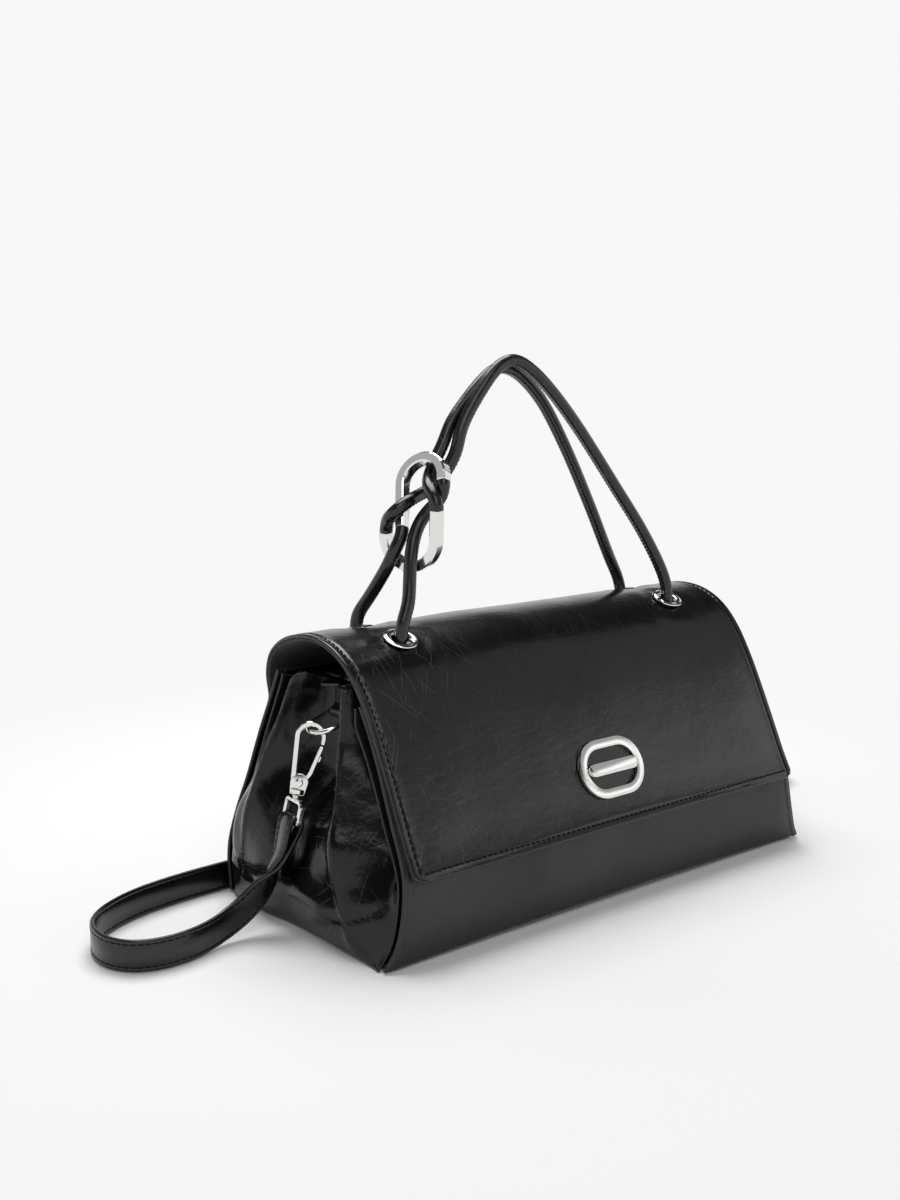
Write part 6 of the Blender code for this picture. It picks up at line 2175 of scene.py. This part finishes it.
@dataclass
class Strap:
    """Shoulder strap clipped at both ends and lying on the floor behind the bag."""

    finishes: Finishes
    clip: Clip
    width: float = 0.0150
    thickness: float = 0.0022
    lap: float = 0.0005
    seam_inset: float = 0.0021
    seam_press: float = 0.00025
    groove_half: float = 0.0005
    corner: float = 0.0006
    side_round: float = 0.0001
    side_share: float = 0.55
    station: float = 0.0022
    right_join: int = 4
    upright_height: float = 0.0079
    rest_height: float = 0.0076
    stitching: Stitching = Stitching(length=0.0026, radius=0.00028, sides=5)
    side_route: Route = (
        (0.1540, 0.0030, 0.0400), (0.1580, 0.0050, 0.0315), (0.1640, 0.0078, 0.0225),
        (0.1725, 0.0092, 0.0145), (0.1840, 0.0082, 0.0095), (0.1960, 0.0045, 0.0079),
        (0.2090, 0.0018, 0.0076), (0.2220, 0.0025, 0.0076), (0.2320, 0.0075, 0.0076),
        (0.2380, 0.0175, 0.0076), (0.2387, 0.0290, 0.0076), (0.2350, 0.0405, 0.0076),
        (0.2265, 0.0505, 0.0076), (0.2140, 0.0585, 0.0076), (0.1990, 0.0642, 0.0076))
    back_route: Outline = (
        (-0.1810, 0.0676), (-0.1640, 0.0692), (-0.1470, 0.0698), (-0.1100, 0.0702), (-0.0600, 0.0706),
        (-0.0100, 0.0710), (0.0300, 0.0718), (0.0560, 0.0760), (0.0700, 0.0860), (0.0720, 0.0990),
        (0.0620, 0.1100), (0.0420, 0.1150), (0.0100, 0.1170), (-0.0180, 0.1210), (-0.0320, 0.1310),
        (-0.0340, 0.1440), (-0.0240, 0.1550), (-0.0040, 0.1600), (0.0300, 0.1590), (0.0750, 0.1490),
        (0.1200, 0.1320), (0.1600, 0.1120), (0.1920, 0.0900), (0.2170, 0.0680))

    def _wrap(self, side: Side) -> tuple[list[Vector], Vector]:
        """Turn of the strap round an eye's bar and the direction of its front."""
        eye = self.clip.eye_frame(side)
        reach = self.clip.eye_wire + 2 * GAP + self.thickness / 2
        up = eye.to_3x3() @ Vector((0, 1, 0))
        front = eye.to_3x3() @ Vector((0, 0, 1))
        if front.y > 0:
            front = -front
        points = [eye.translation + front * reach * math.sin(a) + up * reach * math.cos(a)
                  for a in np.radians((-90, -60, -30, 0, 30, 60, 90))]
        return points, front

    def _across(self, place: Sequence[float]) -> Vector:
        """Direction across the strap: along the eye's bar at the eye, upright on the floor."""
        side = Side.LEFT if place[0] < 0 else Side.RIGHT
        eye = self.clip.eye_frame(side)
        wide = eye.to_3x3() @ Vector((1, 0, 0))
        wide = wide if wide.x * side.value > 0 else -wide
        rise = (place[2] - self.upright_height) / (eye.translation.z - self.upright_height)
        share = eased_step(min(max(rise, 0), 1))
        return wide * share + Vector((0, 0, 1)) * (1 - share)

    def _lapped(self, route: Sequence[Vector], front: Vector) -> list[Vector]:
        """Sewn-back end beside the route's first places, from its free end up to the eye."""
        places = []
        for before, at, after in ((0, 0, 1), (0, 1, 2)):
            off = (route[after] - route[before]).cross(self._across(route[at])).normalized()
            off = off if off.dot(front) > 0 else -off
            places.append(route[at] - off * (self.thickness + self.lap))
        return places[::-1]

    def _line(self) -> np.ndarray:
        """Middle line of the strap from one sewn end to the other."""
        left_wrap, left_front = self._wrap(Side.LEFT)
        right_wrap, right_front = self._wrap(Side.RIGHT)
        left = [Vector((-x, y, z)) for x, y, z in self.side_route]
        right = [Vector(p) for p in self.side_route[:-self.right_join]]
        back = [Vector((x, y, self.rest_height)) for x, y in self.back_route]
        points = [*self._lapped(left, left_front), *left_wrap, *left, *back]
        points += reversed([*self._lapped(right, right_front), *right_wrap, *right])
        return smooth_line(points, steps=6)

    def build(self) -> None:
        """Build the strap and its stitches."""
        line = evenly(self._line(), self.station)
        frames = frames_along(line, lambda i: self._across(line[i]))
        half, thick = self.width / 2, self.thickness / 2
        inset = half - self.seam_inset
        press = thick - self.seam_press
        right = [(half, 0), (half - self.side_round, thick * self.side_share), (half - self.corner, thick),
                 (inset + self.groove_half, thick), (inset, press), (inset - self.groove_half, thick)]
        upper = [*right, (0, thick), *((-x, y) for x, y in reversed(right))]
        outline = upper + [(-x, -y) for x, y in upper[1:-1]]
        f = self.finishes
        add("strap_leather", swept("strap", frames, lambda i: outline), (f.strap,), Body.BAG.value,
            ("shoulder_strap",))
        lines = []
        for side in (-1, 1):
            for offset in (-inset, inset):
                points = np.array([m @ Vector((offset, side * press, 0)) for m in frames])
                normals = np.array([m.to_3x3() @ Vector((0, side, 0)) for m in frames])
                lines.append((points, normals))
        self.stitching.sew("strap", lines, f.thread)


@dataclass(frozen=True)
class Lamp:
    """A square soft lamp aimed at the bag."""

    name: str
    place: Triple
    size: float
    power: float


@dataclass(frozen=True)
class Studio:
    """Camera, lamps, floor and background."""

    camera_place: Place = (-0.5039, -0.5395, 0.2647)
    camera_target: Place = (-0.0552, 0.0, 0.1499)
    lamp_target: Place = (0.0, 0.0, 0.08)
    lens: float = 42.53
    sensor: float = 36.0
    nearest: float = 0.01
    pale: float = 0.935
    ceiling: float = 0.05
    wall_top_share: float = 0.26
    ceiling_share: float = 0.46
    floor_radius: float = 6.0
    floor_sides: int = 64
    floor_dull: float = 0.9
    shadow_radius: float = 0.27
    even_radius: float = 0.52
    lamps: tuple[Lamp, ...] = (
        Lamp("key_lamp", (-0.55, -0.75, 1.15), 0.9, 4.6),
        Lamp("top_lamp", (0.10, 0.40, 1.25), 0.9, 15.2),
        Lamp("side_lamp", (-0.99, 0.55, 0.92), 0.60, 0.5),
        Lamp("right_lamp", (0.90, -0.80, 0.80), 1.1, 1.4),
    )

    def build(self) -> None:
        """Build the studio."""
        self._camera()
        for lamp in self.lamps:
            self._lamp(lamp)
        self._floor()
        self._world()
        bpy.context.scene.view_settings.view_transform = "Standard"

    def _aimed(self, data: bpy.types.Camera | bpy.types.Light, place: Place,
               target: Place) -> bpy.types.Object:
        """Put a camera or lamp in its place with its -Z at a target."""
        thing = bpy.data.objects.new(data.name, data)
        thing.location = place
        thing.rotation_euler = (Vector(target) - thing.location).to_track_quat("-Z", "Y").to_euler()
        bpy.context.collection.objects.link(thing)
        return thing

    def _camera(self) -> None:
        """Place the camera."""
        data = bpy.data.cameras.new("camera")
        data.lens = self.lens
        data.sensor_width = self.sensor
        data.sensor_fit = "AUTO"
        data.clip_start = self.nearest
        bpy.context.scene.camera = self._aimed(data, self.camera_place, self.camera_target)

    def _lamp(self, lamp: Lamp) -> None:
        """Place one lamp."""
        data = bpy.data.lights.new(lamp.name, "AREA")
        data.size = lamp.size
        data.energy = lamp.power
        self._aimed(data, lamp.place, self.lamp_target)

    def _floor(self) -> None:
        """Lay a pale floor that meets the background without an edge."""
        rim = [(x, y, -GAP) for x, y in circle(self.floor_radius, self.floor_sides)]
        mesh = bpy.data.meshes.new("floor")
        mesh.from_pydata(rim, [], [tuple(range(self.floor_sides))])
        s = Shader("pale_floor")
        pale = (self.pale, self.pale, self.pale, 1.0)
        s.settle(base_color=pale, roughness=self.floor_dull, specular_ior_level=0.0)
        length = s.node("VectorMath", operation="LENGTH")
        s.join(s.where, length.inputs[0])
        far = s.mapped(length.outputs["Value"], self.shadow_radius, self.even_radius, 0.0, 1.0)
        mix = s.node("MixShader")
        glow = s.node("Emission", color=pale)
        for index, source in enumerate((far, s.surface.outputs[0], glow.outputs[0])):
            s.join(source, mix.inputs[index])
        s.join(mix.outputs[0], s.tree.nodes["Material Output"].inputs["Surface"])
        s.material.cycles.emission_sampling = "NONE"
        floor = bpy.data.objects.new("floor", mesh)
        mesh.materials.append(s.material)
        bpy.context.collection.objects.link(floor)

    def _world(self) -> None:
        """Set a pale backdrop that darkens towards the studio's ceiling."""
        world = bpy.data.worlds.new("studio")
        world.use_nodes = True
        nodes, links = world.node_tree.nodes, world.node_tree.links
        where = nodes.new("ShaderNodeTexCoord")
        parts = nodes.new("ShaderNodeSeparateXYZ")
        level = nodes.new("ShaderNodeMapRange")
        level.interpolation_type = "SMOOTHSTEP"
        for index, number in enumerate((self.wall_top_share, self.ceiling_share, self.pale, self.ceiling), 1):
            level.inputs[index].default_value = number
        links.new(where.outputs["Generated"], parts.inputs[0])
        links.new(parts.outputs["Z"], level.inputs[0])
        nodes["Background"].inputs["Color"].default_value = (1, 1, 1, 1)
        links.new(level.outputs[0], nodes["Background"].inputs["Strength"])
        bpy.context.scene.world = world


def main() -> None:
    """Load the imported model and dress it."""
    logging.basicConfig(level=logging.INFO, format="%(name)s %(message)s")
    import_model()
    shape = BagShape()
    finishes = Finishes()
    Studio().build()
    flap = Flap(shape, finishes)
    clip = Clip(finishes)
    for part in (Shell(shape, finishes), flap, Handle(shape, finishes, flap), Closure(shape, finishes),
                 Zip(finishes), SideRing(finishes), clip, Strap(finishes, clip)):
        part.build()
    kept = {"base_stiffener": finishes.board, "body_magnet": finishes.dark_metal,
            "flap_magnet": finishes.dark_metal, "zip_end_stop": finishes.chrome}
    for end in ("front", "rear"):
        for side in Side:
            kept[f"washer_{end}_{side.word}"] = finishes.chrome
        for reach in ("long", "short"):
            kept[f"cord_stopper_{end}_{reach}"] = finishes.chrome
    for node, finish in kept.items():
        refinished(node, finish)


if __name__ == "__main__":
    main()
